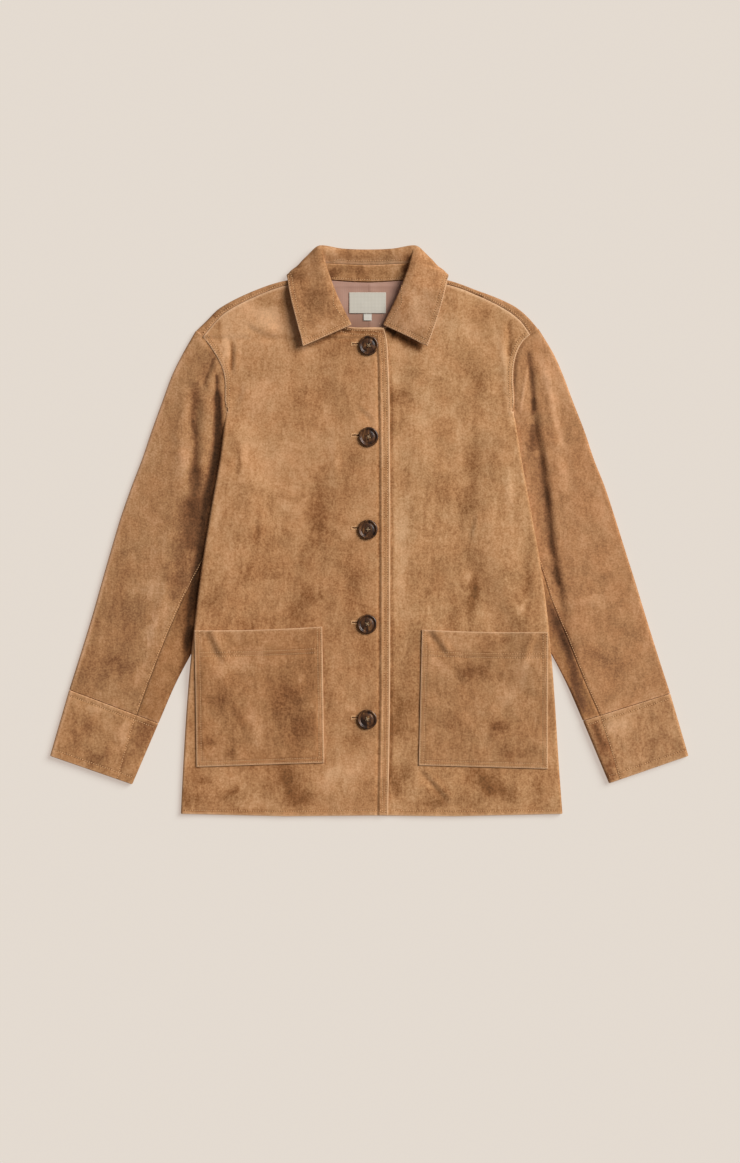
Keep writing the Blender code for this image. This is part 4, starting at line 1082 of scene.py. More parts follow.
def armhole_row(side, inset):
    return beside(smooth_line(side_of(ARMHOLE, side), np.linspace(0.02, 0.985, 30)), side, inset)


def hem_row(side, start):
    xs = np.linspace(start, side * 236.5, 60)
    return np.stack([xs, hem_edge(xs) + HEM_ROW], axis=1)


def shoulder_row(side):
    line = smooth_line(side_of(SHOULDER_SEAM, side), np.linspace(0.015, 1.0, 40))
    return line + facing(line, (0, 1)) * SHOULDER_RISE


def pocket_rows(spec):
    """Two rows round the sides and the bottom, and two across the mouth's deep hem."""
    corners = [np.array(p, float) for p in (spec.top_out, spec.low_out, spec.low_in, spec.top_in)]
    middle = sum(corners) / 4
    rows = []
    for inset in POCKET_ROWS:
        inside = [p - np.sign(p - middle) * inset for p in corners]
        inside[0][1], inside[3][1] = corners[0][1] - 1.0, corners[3][1] - 1.0
        rows.append(inside)
    for down in POCKET_HEM_ROWS:
        ends = [corners[0] - (0.0, down), corners[3] - (0.0, down)]
        ends[0][0] -= math.copysign(7.5, spec.top_out[0])
        ends[1][0] += math.copysign(7.5, spec.top_out[0])
        share = even(12)[:, None]
        line = ends[0] + share * (ends[1] - ends[0])
        line[:, 1] -= POCKET_SAG * 0.7 * np.sin(math.pi * share[:, 0])
        rows.append(line)
    return rows


def cuff_row(top, end, down):
    """A straight row across a cuff, this far down from its seam with the sleeve."""
    line = top + down / CUFF_LONG * (end - top)
    return line[0] + np.linspace(0.03, 0.97, 24)[:, None] * (line[1] - line[0])


def front_net(side):
    """The front's plan as it is cut, on the pattern's coarse net."""
    side_line = smooth_line(level_points(BODY_SIDES[::-1], side), even(NET_SIDE))
    outward = facing(side_line, (side, 0))
    inner_side = side_line - outward * FOLD_REACH
    armhole = smooth_line(side_of(ARMHOLE, side), even(NET_ARMHOLE))
    outer = np.r_[inner_side, armhole[1:]]
    neck = smooth_line(side_of(NECKLINE, side), even(NET_NECK))
    seam = smooth_line(side_of(SHOULDER_SEAM, side)[::-1], even(NET_SHOULDER))
    high = np.r_[neck, seam[1:]]
    low_in = (level_x(FRONT_EDGES, side, HEM_LEVEL), HEM_LEVEL)
    middle = (side * 108.0, HEM_LEVEL - HEM_BOW)
    low = np.r_[smooth_line([low_in, middle], even(NET_NECK)),
                smooth_line([middle, tuple(inner_side[0])], even(NET_SHOULDER))[1:]]
    share = np.r_[shares_along(inner_side) * 0.80, 0.80 + 0.20 * even(NET_ARMHOLE)[1:]]
    inner = smooth_line(level_points(FRONT_EDGES, side), share)
    inner[0], inner[-1] = low[0], high[0]
    plan = relaxed(patch(low, high, inner, outer), 60)
    plan[-1, NET_NECK + 1:, 1] -= SEAM_GAP / 2
    return plan, outward


def front_relief(side, x, y, rows):
    """Creases, the thicker placket, hem and seam bands, channels and buttonholes of a front."""
    edge = ease(inside_side(x, y) / 9.0)
    z = creased("front_" + WHICH[side], x, y) * edge
    z = z + (0.22 * waves(x, y, 52.0, 3.0 + side) + 0.10 * waves(x, y, 21.0, 8.0 - side)) * edge
    where = np.stack([x, y], axis=-1)
    z = z + 0.35 * ease((HEM_BAND - (y - hem_edge(x))) / 1.6)
    seam = reach(smooth_line(side_of(ARMHOLE, side), even(24)), where)[0]
    z = z + 0.60 * ease((ARMHOLE_BAND - seam) / 1.8)
    for spec in POCKETS:
        if (spec.top_out[0] < 0) != (side < 0):
            continue
        low, high = min(spec.top_out[0], spec.low_in[0]), max(spec.top_out[0], spec.low_in[0])
        inside_x = np.minimum(x - low, high - x)
        under = ease((inside_x + 2.0) / 5.0) * ease((-118.0 - y) / 6.0) * ease((y + 305.0) / 6.0)
        z = z * (1.0 - 0.85 * under)
    if side < 0:
        from_edge = np.minimum(level_x(FRONT_EDGES, -1, y) - x, (PLACKET_TOP - y) / 1.05)
        z = z + 0.60 * ease((PLACKET_BAND - from_edge) / 2.2)
        z = z + 0.40 * np.exp(-((from_edge - PLACKET_RIDGE) / 1.4) ** 2)
        z = z - 0.95 * np.exp(-((from_edge - PLACKET_TROUGH) / 1.9) ** 2)
        for level in BUTTON_LEVELS:
            slit = level + SLIT_RISE
            inside = ease((x - SLIT_FROM - 0.5) / 1.2) * ease((2.0 - x) / 4.0)
            z = z - 0.9 * np.exp(-((y - slit) / 0.75) ** 2) * inside
            z = z + 0.42 * np.exp(-((np.abs(y - slit) - 1.9) / 0.9) ** 2) * inside
            ring = np.hypot(x - BUTTON_X, y - level)
            z = z - 0.5 * np.exp(-(ring / 12.0) ** 4) + 0.3 * np.exp(-((ring - 17.0) / 4.5) ** 2)
    return z + channelled(rows, where)


def front(side):
    name = "front_" + WHICH[side]
    rows = [armhole_row(side, inset) for inset in ARMHOLE_ROWS]
    if side < 0:
        rows += [placket_row(inset) for inset in PLACKET_ROWS] + [hem_row(side, 14.0)]
    else:
        rows += [hem_row(side, 27.0)]
    plan, outward = front_net(side)
    up = (steps(SIDE_LONG, BODY_CELL, EDGE_CELL, low=10.0), steps(ARMHOLE_LONG, BODY_CELL))
    placket_cell = EDGE_CELL if side < 0 else BODY_CELL
    across = (steps(INNER_WIDE, BODY_CELL, placket_cell, low=26.0),
              steps(OUTER_WIDE, BODY_CELL, EDGE_CELL, high=9.0))
    fine = finer(plan, (0, NET_SIDE, NET_SIDE + NET_ARMHOLE), up)
    fine = finer_across(fine, (0, NET_NECK, NET_NECK + NET_SHOULDER), across)
    x, y = fine[..., 0], fine[..., 1]
    panel = np.dstack([fine, front_height(side, x, y) + front_relief(side, x, y, rows)])
    outward = finer(outward, (0, NET_SIDE), up[:1])
    last = panel[:len(outward), -1]
    turn = fold(last - (0.0, 0.0, FOLD_RADIUS), outward, FOLD_RADIUS, 180.0, 0.0, 9)
    turn[0] = last
    turn = np.swapaxes(turn, 0, 1)
    obj = shell(name, [panel, turn], SUEDE, suede(name), flip=side < 0, rows=rows)
    stitches(name + "_topstitching", obj, rows)
    return obj


def back():
    """The back in one piece, with its strips over the shoulders down to the seams on the fronts."""
    clear = FOLD_REACH + SEAM_GAP
    sides, tops = {}, {}
    for side in (-1, 1):
        side_line = smooth_line(level_points(BODY_SIDES[::-1], side), even(NET_SIDE))
        inner_side = side_line - facing(side_line, (side, 0)) * clear
        ridge = smooth_line(side_of(SHOULDER_FOLD, side), even(NET_SHOULDER))
        away = facing(ridge, (0, 1))
        base = ridge - away * FOLD_REACH
        armhole = smooth_line(side_of(ARMHOLE, side) + [tuple(base[0])], even(NET_BACK_ARMHOLE))
        armhole[:, 0] -= side * (clear * (1 - ease(even(NET_BACK_ARMHOLE) / 0.3)) + ARMHOLE_GAP)
        sides[side] = np.r_[inner_side, armhole[1:]]
        tops[side] = (base, away)
    neck = smooth_line(BACK_NECK, even(NET_NECK))
    neck[:, 1] -= 0.5
    high = np.r_[tops[-1][0], neck[1:-1], tops[1][0][::-1]]
    low = sides[-1][0] + shares_along(high)[:, None] * (sides[1][0] - sides[-1][0])
    for line in (low, sides[-1][:1], sides[1][:1]):
        line[:, 1] = HEM_LEVEL + BACK_HEM_RISE
    plan = relaxed(patch(low, high, sides[-1], sides[1]), 30)
    along = steps(SHOULDER_LONG, BODY_CELL)
    up = (steps(SIDE_LONG, BACK_CELL), steps(BACK_ARMHOLE_LONG, BACK_CELL))
    across = (along, steps(BACK_NECK_WIDE, BACK_CELL), along)
    corners = np.cumsum((0, NET_SHOULDER, NET_NECK, NET_SHOULDER))
    fine = finer_across(finer(plan, (0, NET_SIDE, NET_SIDE + NET_BACK_ARMHOLE), up), corners, across)
    x, y = fine[..., 0], fine[..., 1]
    quiet = ease(inside_side(x, y) / 14.0) * ease((245.0 - y) / 30.0)
    relief = (0.16 * waves(x, y, 60.0, 4.0) + 0.10 * creased("back", x, y)) * quiet
    sheet = np.dstack([fine, bed(x, y) + SUEDE / 2 + np.maximum(relief, 0.0)])
    grids = [sheet]
    sewn = {side: shoulder_row(side) for side in (-1, 1)}
    for side in (-1, 1):
        away = finer(tops[side][1], (0, NET_SHOULDER), (along,))
        row = sheet[-1, :len(along)] if side < 0 else sheet[-1, -len(along):][::-1]
        turn = fold(row + (0.0, 0.0, FOLD_RADIUS), away, FOLD_RADIUS, 0.0, 180.0, 9)
        turn[0] = row
        seam = smooth_line(side_of(SHOULDER_SEAM, side), even(NET_SHOULDER))
        seam = finer(seam, (0, NET_SHOULDER), (along,))
        seam[:, 1] += SEAM_GAP / 2
        end = np.c_[seam, front_height(side, seam[:, 0], seam[:, 1])]
        shares = np.linspace(0.0, 1.0, 5)[1:, None, None]
        strip = np.concatenate([turn, turn[-1:] + shares * (end - turn[-1])])
        strip[..., 2] += channelled([sewn[side]], strip[..., :2]) * (strip[..., 2] > 6)
        grids.append(strip if side < 0 else strip[:, ::-1])
    rows = list(sewn.values())
    obj = shell("back", grids, SUEDE, suede("back"), rows=rows)
    stitches("shoulder_topstitching", obj, rows)


def sleeve_relief(side, x, y):
    """Creases of a sleeve: troughs where it folds in beside the body and ripples at the elbow."""
    z = creased("sleeve_" + WHICH[side], x, y)
    z = z + 0.30 * waves(x, y, 46.0, 6.0 + side) + 0.14 * waves(x, y, 19.0, 2.0 - side)
    hidden = ease((inside_side(x, y) + 1.0) / 6.0) * (y < 152.0)
    gap = reach(smooth_line(sleeve_head(side), even(24)), np.stack([x, y], axis=-1))[0]
    return z * (1.0 - hidden) * ease(gap / 8.0) - ARMHOLE_DROP * np.exp(-(gap / 3.2) ** 2)


def sleeve(side):
    lines, seams = sleeve_sections(side, 24)
    lines, seams = refined(lines, SLEEVE_ROWS), refined(seams, SLEEVE_ROWS)
    which = WHICH[side]
    seam_line = np.array([smooth_line(line, [seam])[0] for line, seam in zip(lines, seams)])
    row = beside(seam_line[24:-1], -side, SLEEVE_ROW)
    made = []
    for name in ("top_sleeve_", "under_sleeve_"):
        rows = []
        for line, seam in zip(lines, seams):
            gap = 0.4 * SEAM_GAP / np.linalg.norm(line[-1] - line[0])
            if name == "top_sleeve_":
                parts = [("top", seam + gap, "out", 48), ("out", 9),
                         ("low", "out", UNDER_SEAM + gap, 8)]
            else:
                parts = [("low", UNDER_SEAM - gap, "in", 14), ("in", 8),
                         ("top", "in", seam - gap, 14)]
            rows.append(section_points(line, parts, SUEDE, sleeve_height,
                                       lambda x, y: sleeve_relief(side, x, y)))
        rows = np.array(rows)
        upper = rows[..., 2] > SUEDE
        gap = reach(seam_line, rows[..., :2])[0]
        rows[..., 2] -= SEAM_DEPTH * np.exp(-(gap / 1.5) ** 2) * upper
        rows[..., 2] += 0.35 * np.exp(-((gap - 3.0) / 1.8) ** 2) * upper
        rows[..., 2] += channelled([row], rows[..., :2]) * upper
        column = np.arange(rows.shape[1])
        above = column < 49 if name == "top_sleeve_" else column >= rows.shape[1] - 15
        rows[..., 2] = np.maximum(rows[..., 2], np.where(above, 1.5 * SUEDE + 0.15, SUEDE / 2))
        obj = shell(name + which, [rows], SUEDE, suede(name + which), flip=side > 0,
                    rows=[row, seam_line])
        made.append(obj)
    stitches("sleeve_seam_topstitching_" + which, made[0], [row])


def cuff(side):
    name = "cuff_" + WHICH[side]
    top, end = (cuff_line(row, side) for row in CUFF)
    lines = [top + share * (end - top) for share in steps(CUFF_LONG, 1.9, 1.2, low=9.0, high=12.0)]
    parts = [("top", "in", "out", 62), ("out", 9), ("low", "out", "in", 30), ("in", 9)]
    seam = [top[0] + CUFF_SEAM[side] * (top[1] - top[0]),
            end[0] + CUFF_SEAM_END[side] * (end[1] - end[0])]
    rows = [cuff_row(top, end, CUFF_TOP_ROW), cuff_row(top, end, CUFF_LONG - CUFF_HEM_ROW),
            beside(np.linspace(seam[0], seam[1], 14), -side, 1.8)]

    def height(x, y):
        return np.full(np.shape(x), CUFF_HEIGHT)

    def relief(x, y):
        return (0.25 * waves(x, y, 34.0, 9.0 + side) + 0.12 * waves(x, y, 15.0, 4.0)
                + creased(name, x, y))

    net = np.array([section_points(line, parts, CUFF_WALL, height, relief) for line in lines])
    upper = net[..., 2] > CUFF_HEIGHT / 2
    gap = reach(seam, net[..., :2])[0]
    net[..., 2] -= SEAM_DEPTH * np.exp(-(gap / 1.3) ** 2) * upper
    net[..., 2] += channelled(rows, net[..., :2]) * upper
    obj = shell(name, [net], CUFF_WALL, suede(name), closed=True, flip=side > 0,
                rows=rows + [np.array(seam)])
    stitches("cuff_topstitching_" + WHICH[side], obj, rows)


def collar_rows(paths, spans, between):
    """Rows along the whole collar, from its left front end round the back to the right one."""
    half = []
    for path in paths:
        points = np.array(path, float)
        shares = shares_along(points)
        want = np.concatenate([np.linspace(a, b, n, endpoint=False)
                               for a, b, n in zip(shares, shares[1:], spans)] + [[1.0]])
        half.append(smooth_line(points, want))
    half = np.array(half)
    left, right = half.copy(), half[::-1][1:].copy()
    left[..., 0] = COLLAR_MIDDLE - left[..., 0]
    y = right[..., 1]
    narrow = 0.955 + 0.045 * np.clip((y - 236.0) / 84.0, 0.0, 1.0) - 0.03 * ease((252.0 - y) / 14.0)
    right[..., 0] = COLLAR_MIDDLE + right[..., 0] * narrow
    whole = refined(np.concatenate([left, right]), (2 * len(half) - 2) * between)
    whole[..., 2] = np.maximum(whole[..., 2], COLLAR_WALL / 2)
    return whole


def inset_line(net, inset):
    """A line on the collar at one distance from its free edges: front end, outer edge, front end."""
    last = net.shape[1] - 1
    from_outer = lengths_along(net[0, ::-1])[::-1]
    from_left, from_right = lengths_along(net[:, last]), lengths_along(net[::-1, last])[::-1]
    columns = [c for c in range(4, last) if from_outer[c] > inset]
    lines = [net[:, c] for c in columns]
    lines += [net[r, ::-1] for r in range(len(net)) if min(from_left[r], from_right[r]) > inset]
    lines += [net[::-1, c] for c in columns[::-1]]
    return np.array([points_at(line, inset) for line in lines])


def collar():
    stand = collar_rows(STAND_PATHS, (12,), 8)
    stand_row = (stand[:, 1] + stand[:, 2]) / 2
    stand_show = np.abs(stand_row[:, 0] - COLLAR_MIDDLE) < 47.0
    stand[..., 2] += channelled([stand_row], stand) * 0.8
    obj = shell("collar_stand", [stand], COLLAR_WALL, suede("collar_stand"), flip=True,
                rows=[stand_row])
    stitches("collar_stand_topstitching", obj, [stand_row[stand_show][:, :2]])
    seam = np.array([path[1] for path in STAND_PATHS])
    toward = unit(np.array([path[0] for path in LEAF_PATHS]) - seam)
    square = np.linalg.norm(np.cross(unit(np.gradient(seam, axis=0)), toward), axis=1)
    start = seam + toward * np.minimum(0.2 * SEAM_GAP / square**1.7, 2.0)[:, None]
    paths = [(tuple(first),) + leaf for first, leaf in zip(start, LEAF_PATHS)]
    leaf = collar_rows(paths, (4, 5, 7, 7, 8, 9), 12)
    toward_edge = np.linspace(0.0, 1.0, leaf.shape[1])[None, :] ** 1.6
    x, y = leaf[..., 0], leaf[..., 1]
    wing = ease((324.0 - y) / 20.0) * ease((leaf[..., 2] - 6.0) / 3.0)
    leaf[..., 2] += WING_LIFT * toward_edge * wing
    edge_rows = [inset_line(leaf, inset) for inset in COLLAR_ROWS]
    on_wing = ease((leaf[..., 2] - 3.0) / 3.0)
    leaf[..., 2] += on_wing * (0.22 * waves(x, y, 36.0, 5.0) + 0.10 * waves(x, y, 15.0, 1.0)
                               + creased("collar", x, y))
    leaf[..., 2] += channelled(edge_rows, leaf) * on_wing
    inside_row = 0.62 * leaf[:, 1] + 0.38 * leaf[:, 2]
    inside_row = inside_row[np.abs(inside_row[:, 0] - COLLAR_MIDDLE) < 44.0]
    leaf[..., 2] += channelled([inside_row], leaf) * 0.8
    obj = shell("collar", [leaf], COLLAR_WALL, suede("collar"), flip=True,
                rows=edge_rows + [inside_row])
    shown = [row[:, :2] for edge in edge_rows for row in wing_parts(edge)]
    stitches("collar_topstitching", obj, shown + [inside_row[:, :2]])


def wing_parts(line):
    """The two stretches of a collar row that lie on top of the wings."""
    top = line[:, 2] > 6.0
    half = len(line) // 2
    return [line[:half][top[:half]], line[half:][top[half:]]]


def lining_height(x, y):
    return bed(x, y) + SUEDE + LINING_CLEAR + LINING_WALL / 2


def lining():
    """Rose satin across the back of the neck, with a pressed centre pleat and a soft tuck."""
    low = np.c_[np.linspace(-LINING_HALF, LINING_HALF, 11) + COLLAR_MIDDLE, np.full(11, LINING_LOW)]
    high = low.copy()
    high[:, 1] = np.interp(high[:, 0], *zip(*BACK_NECK)) - 0.7
    inner = low[0] + even(8)[:, None] * (high[0] - low[0])
    outer = low[-1] + even(8)[:, None] * (high[-1] - low[-1])
    fine = finer(patch(low, high, inner, outer), (0, 8), (steps(94.0, 1.3),))
    fine = finer_across(fine, (0, 10), (steps(148.0, 1.3),))
    x, y = fine[..., 0], fine[..., 1]
    pleat = 0.45 * ease((x - PLEAT_X + 0.7) / 1.4) * ease((PLEAT_X + 15.0 - x) / 15.0)
    tuck = 0.30 * ease((y - TUCK_Y + 0.8) / 1.6) * ease((TUCK_Y + 7.0 - y) / 7.0)
    folds = 0.16 + 0.16 * waves(x, y * 0.4, 22.0, 6.0)
    quiet = ease((316.5 - y) / 4.0)
    z = lining_height(x, y) + (pleat + tuck + np.maximum(folds, 0.0)) * quiet
    under = ((x > LABEL_BOX[0] - 1) & (x < LABEL_BOX[2] + 1)
             & (y > TAB_BOX[1]) & (y < LABEL_BOX[3] + 1))
    z = np.where(under, np.minimum(z, lining_height(x, y) + 0.25), z)
    shell("back_lining", [np.dstack([fine, z])], LINING_WALL, SATIN)


def tag(name, box, material, bow):
    """A blank woven tag lying on the lining."""
    x, y = np.meshgrid(np.linspace(box[0], box[2], 40), np.linspace(box[1], box[3], 26))
    lift = LINING_WALL / 2 + LABEL_CLEAR + LABEL_WALL / 2
    across = (x - box[0]) / (box[2] - box[0])
    z = lining_height(x, y) + lift + bow * np.sin(math.pi * across) + 0.06 * waves(x, y, 14.0, 3.0)
    shell(name, [np.dstack([x, y, z])], LABEL_WALL * 0.8, material)


def pocket(spec):
    side = -1 if spec.top_out[0] < 0 else 1
    low = smooth_line([spec.low_in, spec.low_out], even(8))
    high = smooth_line([spec.top_in, spec.top_out], even(8))
    high[:, 1] -= POCKET_SAG * np.sin(math.pi * even(8))
    inner = smooth_line([spec.low_in, spec.top_in], even(7))
    outer = smooth_line([spec.low_out, spec.top_out], even(7))
    across = steps(163.0, 1.9, 1.3, low=8.0, high=8.0)
    up = steps(174.0, 1.9, 1.3, low=8.0, high=6.0)
    fine = finer_across(finer(patch(low, high, inner, outer), (0, 7), (up,)), (0, 8), (across,))
    x, y = fine[..., 0], fine[..., 1]
    rows = pocket_rows(spec)
    above = SUEDE + POCKET_CLEAR
    mouth = np.sin(math.pi * across)[None, :] * ease((up - 0.6) / 0.4)[:, None]
    edge = (ease(across / 0.06) * ease((1 - across) / 0.06))[None, :] * ease(up[:, None] / 0.06)
    relief = 0.28 * waves(x, y, 40.0, 7.0 + side) + 0.12 * waves(x, y, 17.0, 5.0 - side) + 0.10
    z = over_front(side, x, y, above) + POCKET_MOUTH * mouth
    z = z + (relief + creased(spec.name, x, y)) * edge
    z = z + 0.5 * ease((POCKET_HEM_ROWS[1] + 1.5 - (high[:, 1].max() - y)) / 1.6)
    z = z + channelled(rows, np.stack([x, y], axis=-1))
    obj = shell(spec.name, [np.dstack([fine, z])], SUEDE, suede(spec.name), flip=side < 0,
                rows=rows)
    stitches(spec.name + "_topstitching", obj, rows)


def button(number, level):
    """A turned horn button: rolled rim, a domed middle inside it, four holes, a crossed thread."""
    profile = smooth_line([(0.0, 3.05), (3.6, 2.95), (6.6, 2.6), (8.6, 2.2), (9.5, 2.55), (10.1, 3.5),
                           (11.0, 4.05), (12.15, 3.45), (12.5, 2.5), (12.35, 1.5), (11.4, 0.7),
                           (9.6, 0.15), (0.0, 0.0)], even(46))
    bm = bmesh.new()
    verts = [bm.verts.new((r, 0.0, z)) for r, z in profile]
    edges = [bm.edges.new(pair) for pair in zip(verts, verts[1:])]
    bmesh.ops.spin(bm, geom=verts + edges, axis=(0, 0, 1), cent=(0, 0, 0), steps=64, angle=math.tau)
    bmesh.ops.remove_doubles(bm, verts=bm.verts, dist=0.01)
    bmesh.ops.recalc_face_normals(bm, faces=bm.faces)
    disc = plain_object("blank", bm)
    drill = bmesh.new()
    for dx in (-BUTTON_HOLE_STEP, BUTTON_HOLE_STEP):
        for dy in (-BUTTON_HOLE_STEP, BUTTON_HOLE_STEP):
            made = bmesh.ops.create_cone(drill, cap_ends=True, segments=20, depth=9.0,
                                         radius1=BUTTON_HOLE_RADIUS, radius2=BUTTON_HOLE_RADIUS)
            bmesh.ops.translate(drill, verts=made["verts"], vec=(dx, dy, 1.5))
    cutter = plain_object("drill", drill)
    cut = disc.modifiers.new("Thread holes", "BOOLEAN")
    cut.operation, cut.object = "DIFFERENCE", cutter
    drilled = disc.evaluated_get(bpy.context.evaluated_depsgraph_get()).to_mesh()
    points = np.array([v.co for v in drilled.vertices])
    faces = [list(p.vertices) for p in drilled.polygons]
    for helper in (disc, cutter):
        bpy.data.objects.remove(helper)
    turn = math.radians(BUTTON_TURNS[number - 1])
    cos, sin = math.cos(turn), math.sin(turn)
    spin = np.array([[cos, sin, 0], [-sin, cos, 0], [0, 0, 1]])
    x = BUTTON_X + BUTTON_ASIDE[number - 1]
    base = np.array([x, level, float(front_height(-1, x, level)) + SUEDE / 2 + BUTTON_CLEAR])
    obj = mesh_object(f"button_{number}", points @ spin + base, faces, HORN)
    obj.data.set_sharp_from_angle(angle=math.radians(38))
    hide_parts(f"button_{number}")
    step = BUTTON_HOLE_STEP
    strands = []
    for a, b in (((-step, -step), (step, step)), ((-step, step), (step, -step))):
        for aside in (-0.2, 0.2):
            share = np.linspace(-0.06, 1.06, 9)[:, None]
            line = np.array(a) + share * (np.array(b) - np.array(a))
            line = line + (aside, -aside * np.sign(a[0] * a[1]))
            rise = THREAD_SUNK + THREAD_RISE * np.sin(math.pi * np.clip(share, 0, 1)) ** 0.35
            strands.append(np.c_[line, rise] @ spin + base)
    strands = np.array(strands)
    up = np.broadcast_to((0.0, 0.0, 1.0), strands.shape)
    tubes(f"button_{number}_thread", strands, up, np.full(9, BUTTON_THREAD), PALE_THREAD, sides=6)


def plain_object(name, bm):
    """A helper object from a bmesh, which it uses up."""
    mesh = bpy.data.meshes.new(name)
    bm.to_mesh(mesh)
    bm.free()
    return placed(name, mesh)


def buttonhole(number, level, panel):
    """Stitched lips along the slit, a bar across its outer end, and a dark tube of painted shadow in
    the slit.
    """
    slit = level + SLIT_RISE
    lips = [[(x, slit + side * 0.55), (x + 0.12, slit + side * 1.55), (x + 0.2, slit + side * 2.5)]
            for x in np.arange(SLIT_FROM + 0.8, BUTTON_X + 4.0, 0.62) for side in (-1, 1)]
    bar = [[(SLIT_FROM - 0.9, y), (SLIT_FROM, y + 0.08), (SLIT_FROM + 0.9, y)]
           for y in np.arange(slit - 2.4, slit + 2.5, 0.55)]
    lift = [(0.0, 0.22, -0.1)] * len(lips) + [(-0.1, 0.3, -0.1)] * len(bar)
    centres, normals = laid_on(panel, np.array(lips + bar), lift)
    tubes(f"buttonhole_{number}", centres, normals, (0.2, 0.32, 0.2), THREAD)
    # A dark tube of painted shadow fills the slit's gap.
    gap = np.stack([np.linspace(SLIT_FROM + 0.6, BUTTON_X - 8.0, 12), np.full(12, slit)], axis=1)[None]
    centres, normals = laid_on(panel, gap, 0.25)
    widths = 0.62 * np.sin(np.linspace(0.6, 2.6, 12))
    tubes(f"buttonhole_{number}_slit", centres, normals, widths, PAINTED_HOLE_SHADOW, sides=8)


# Finishes.


def paint(code):
    """An sRGB hex colour as linear RGBA."""
    parts = [int(code[k:k + 2], 16) / 255 for k in (0, 2, 4)]
    return tuple(((c + 0.055) / 1.055) ** 2.4 if c > 0.04045 else c / 12.92 for c in parts) + (1.0,)


def node(tree, kind, settings=(), links=()):
    """Adds a node, gives it its settings, and links its sockets to other nodes' outputs."""
    made = tree.nodes.new(kind)
    for key, value in dict(settings).items():
        if isinstance(key, str) and hasattr(made, key):
            setattr(made, key, value)
        else:
            made.inputs[key].default_value = value
    for key, source in dict(links).items():
        tree.links.new(source, made.inputs[key])
    return made


def finish(name, settings):
    """A new material whose Principled BSDF has these constant values."""
    material = bpy.data.materials.new(name)
    material.use_nodes = True
    shader = material.node_tree.nodes["Principled BSDF"]
    for key, value in settings.items():
        shader.inputs[key].default_value = value
    return material, material.node_tree, shader


def per_mm(size):
    """A texture scale that gives a pattern of about this size in millimetres."""
    return 1.0 / (size * MM)


# A wave texture of scale 1 repeats every metre divided by this.
WAVE_TURN = 6.28

# Shade of each panel's suede, as three hex values: dark, for nap brushed dark and for painted shade;
# lying plain; light, for nap brushed light and for painted highlights.
HIDES = {
    "front_left": ("855835", "b08259", "d1a47c"),
    "front_right": ("895d39", "b6895f", "d8ad84"),
    "back": ("7d5436", "a97c55", "c69872"),
    "top_sleeve_left": ("7c5437", "a67b54", "c99d79"),
    "under_sleeve_left": ("744c2e", "9c6f48", "bd8f6a"),
    "top_sleeve_right": ("845b3d", "af8058", "d1a17a"),
    "under_sleeve_right": ("775137", "a1734b", "c3956e"),
    "cuff_left": ("7d5335", "a87c54", "ca9d76"),
    "cuff_right": ("885c3c", "b3875f", "d5a881"),
    "pocket_left": ("7b5132", "a5774f", "c99b74"),
    "pocket_right": ("7f5535", "aa7e56", "cca079"),
    "collar": ("7f5535", "ad7f57", "cfa37d"),
    "collar_stand": ("7e5435", "ae8056", "cda078"),
}

# How far a panel's edge is made light, partly as wear and partly as a painted highlight, and how far a
# paler worn and highlit colour is mixed in there.
WORN_HIGHLIT_EDGES = {
    "front_left": (0.36, 0.3), "front_right": (0.36, 0.3), "pocket_left": (0.36, 0.25),
    "pocket_right": (0.36, 0.25), "collar": (0.36, 0.15), "top_sleeve_left": (0.18, 0.0),
    "top_sleeve_right": (0.18, 0.0),
}
PLAIN_WORN_HIGHLIT_EDGE = (0.36, 0.0)


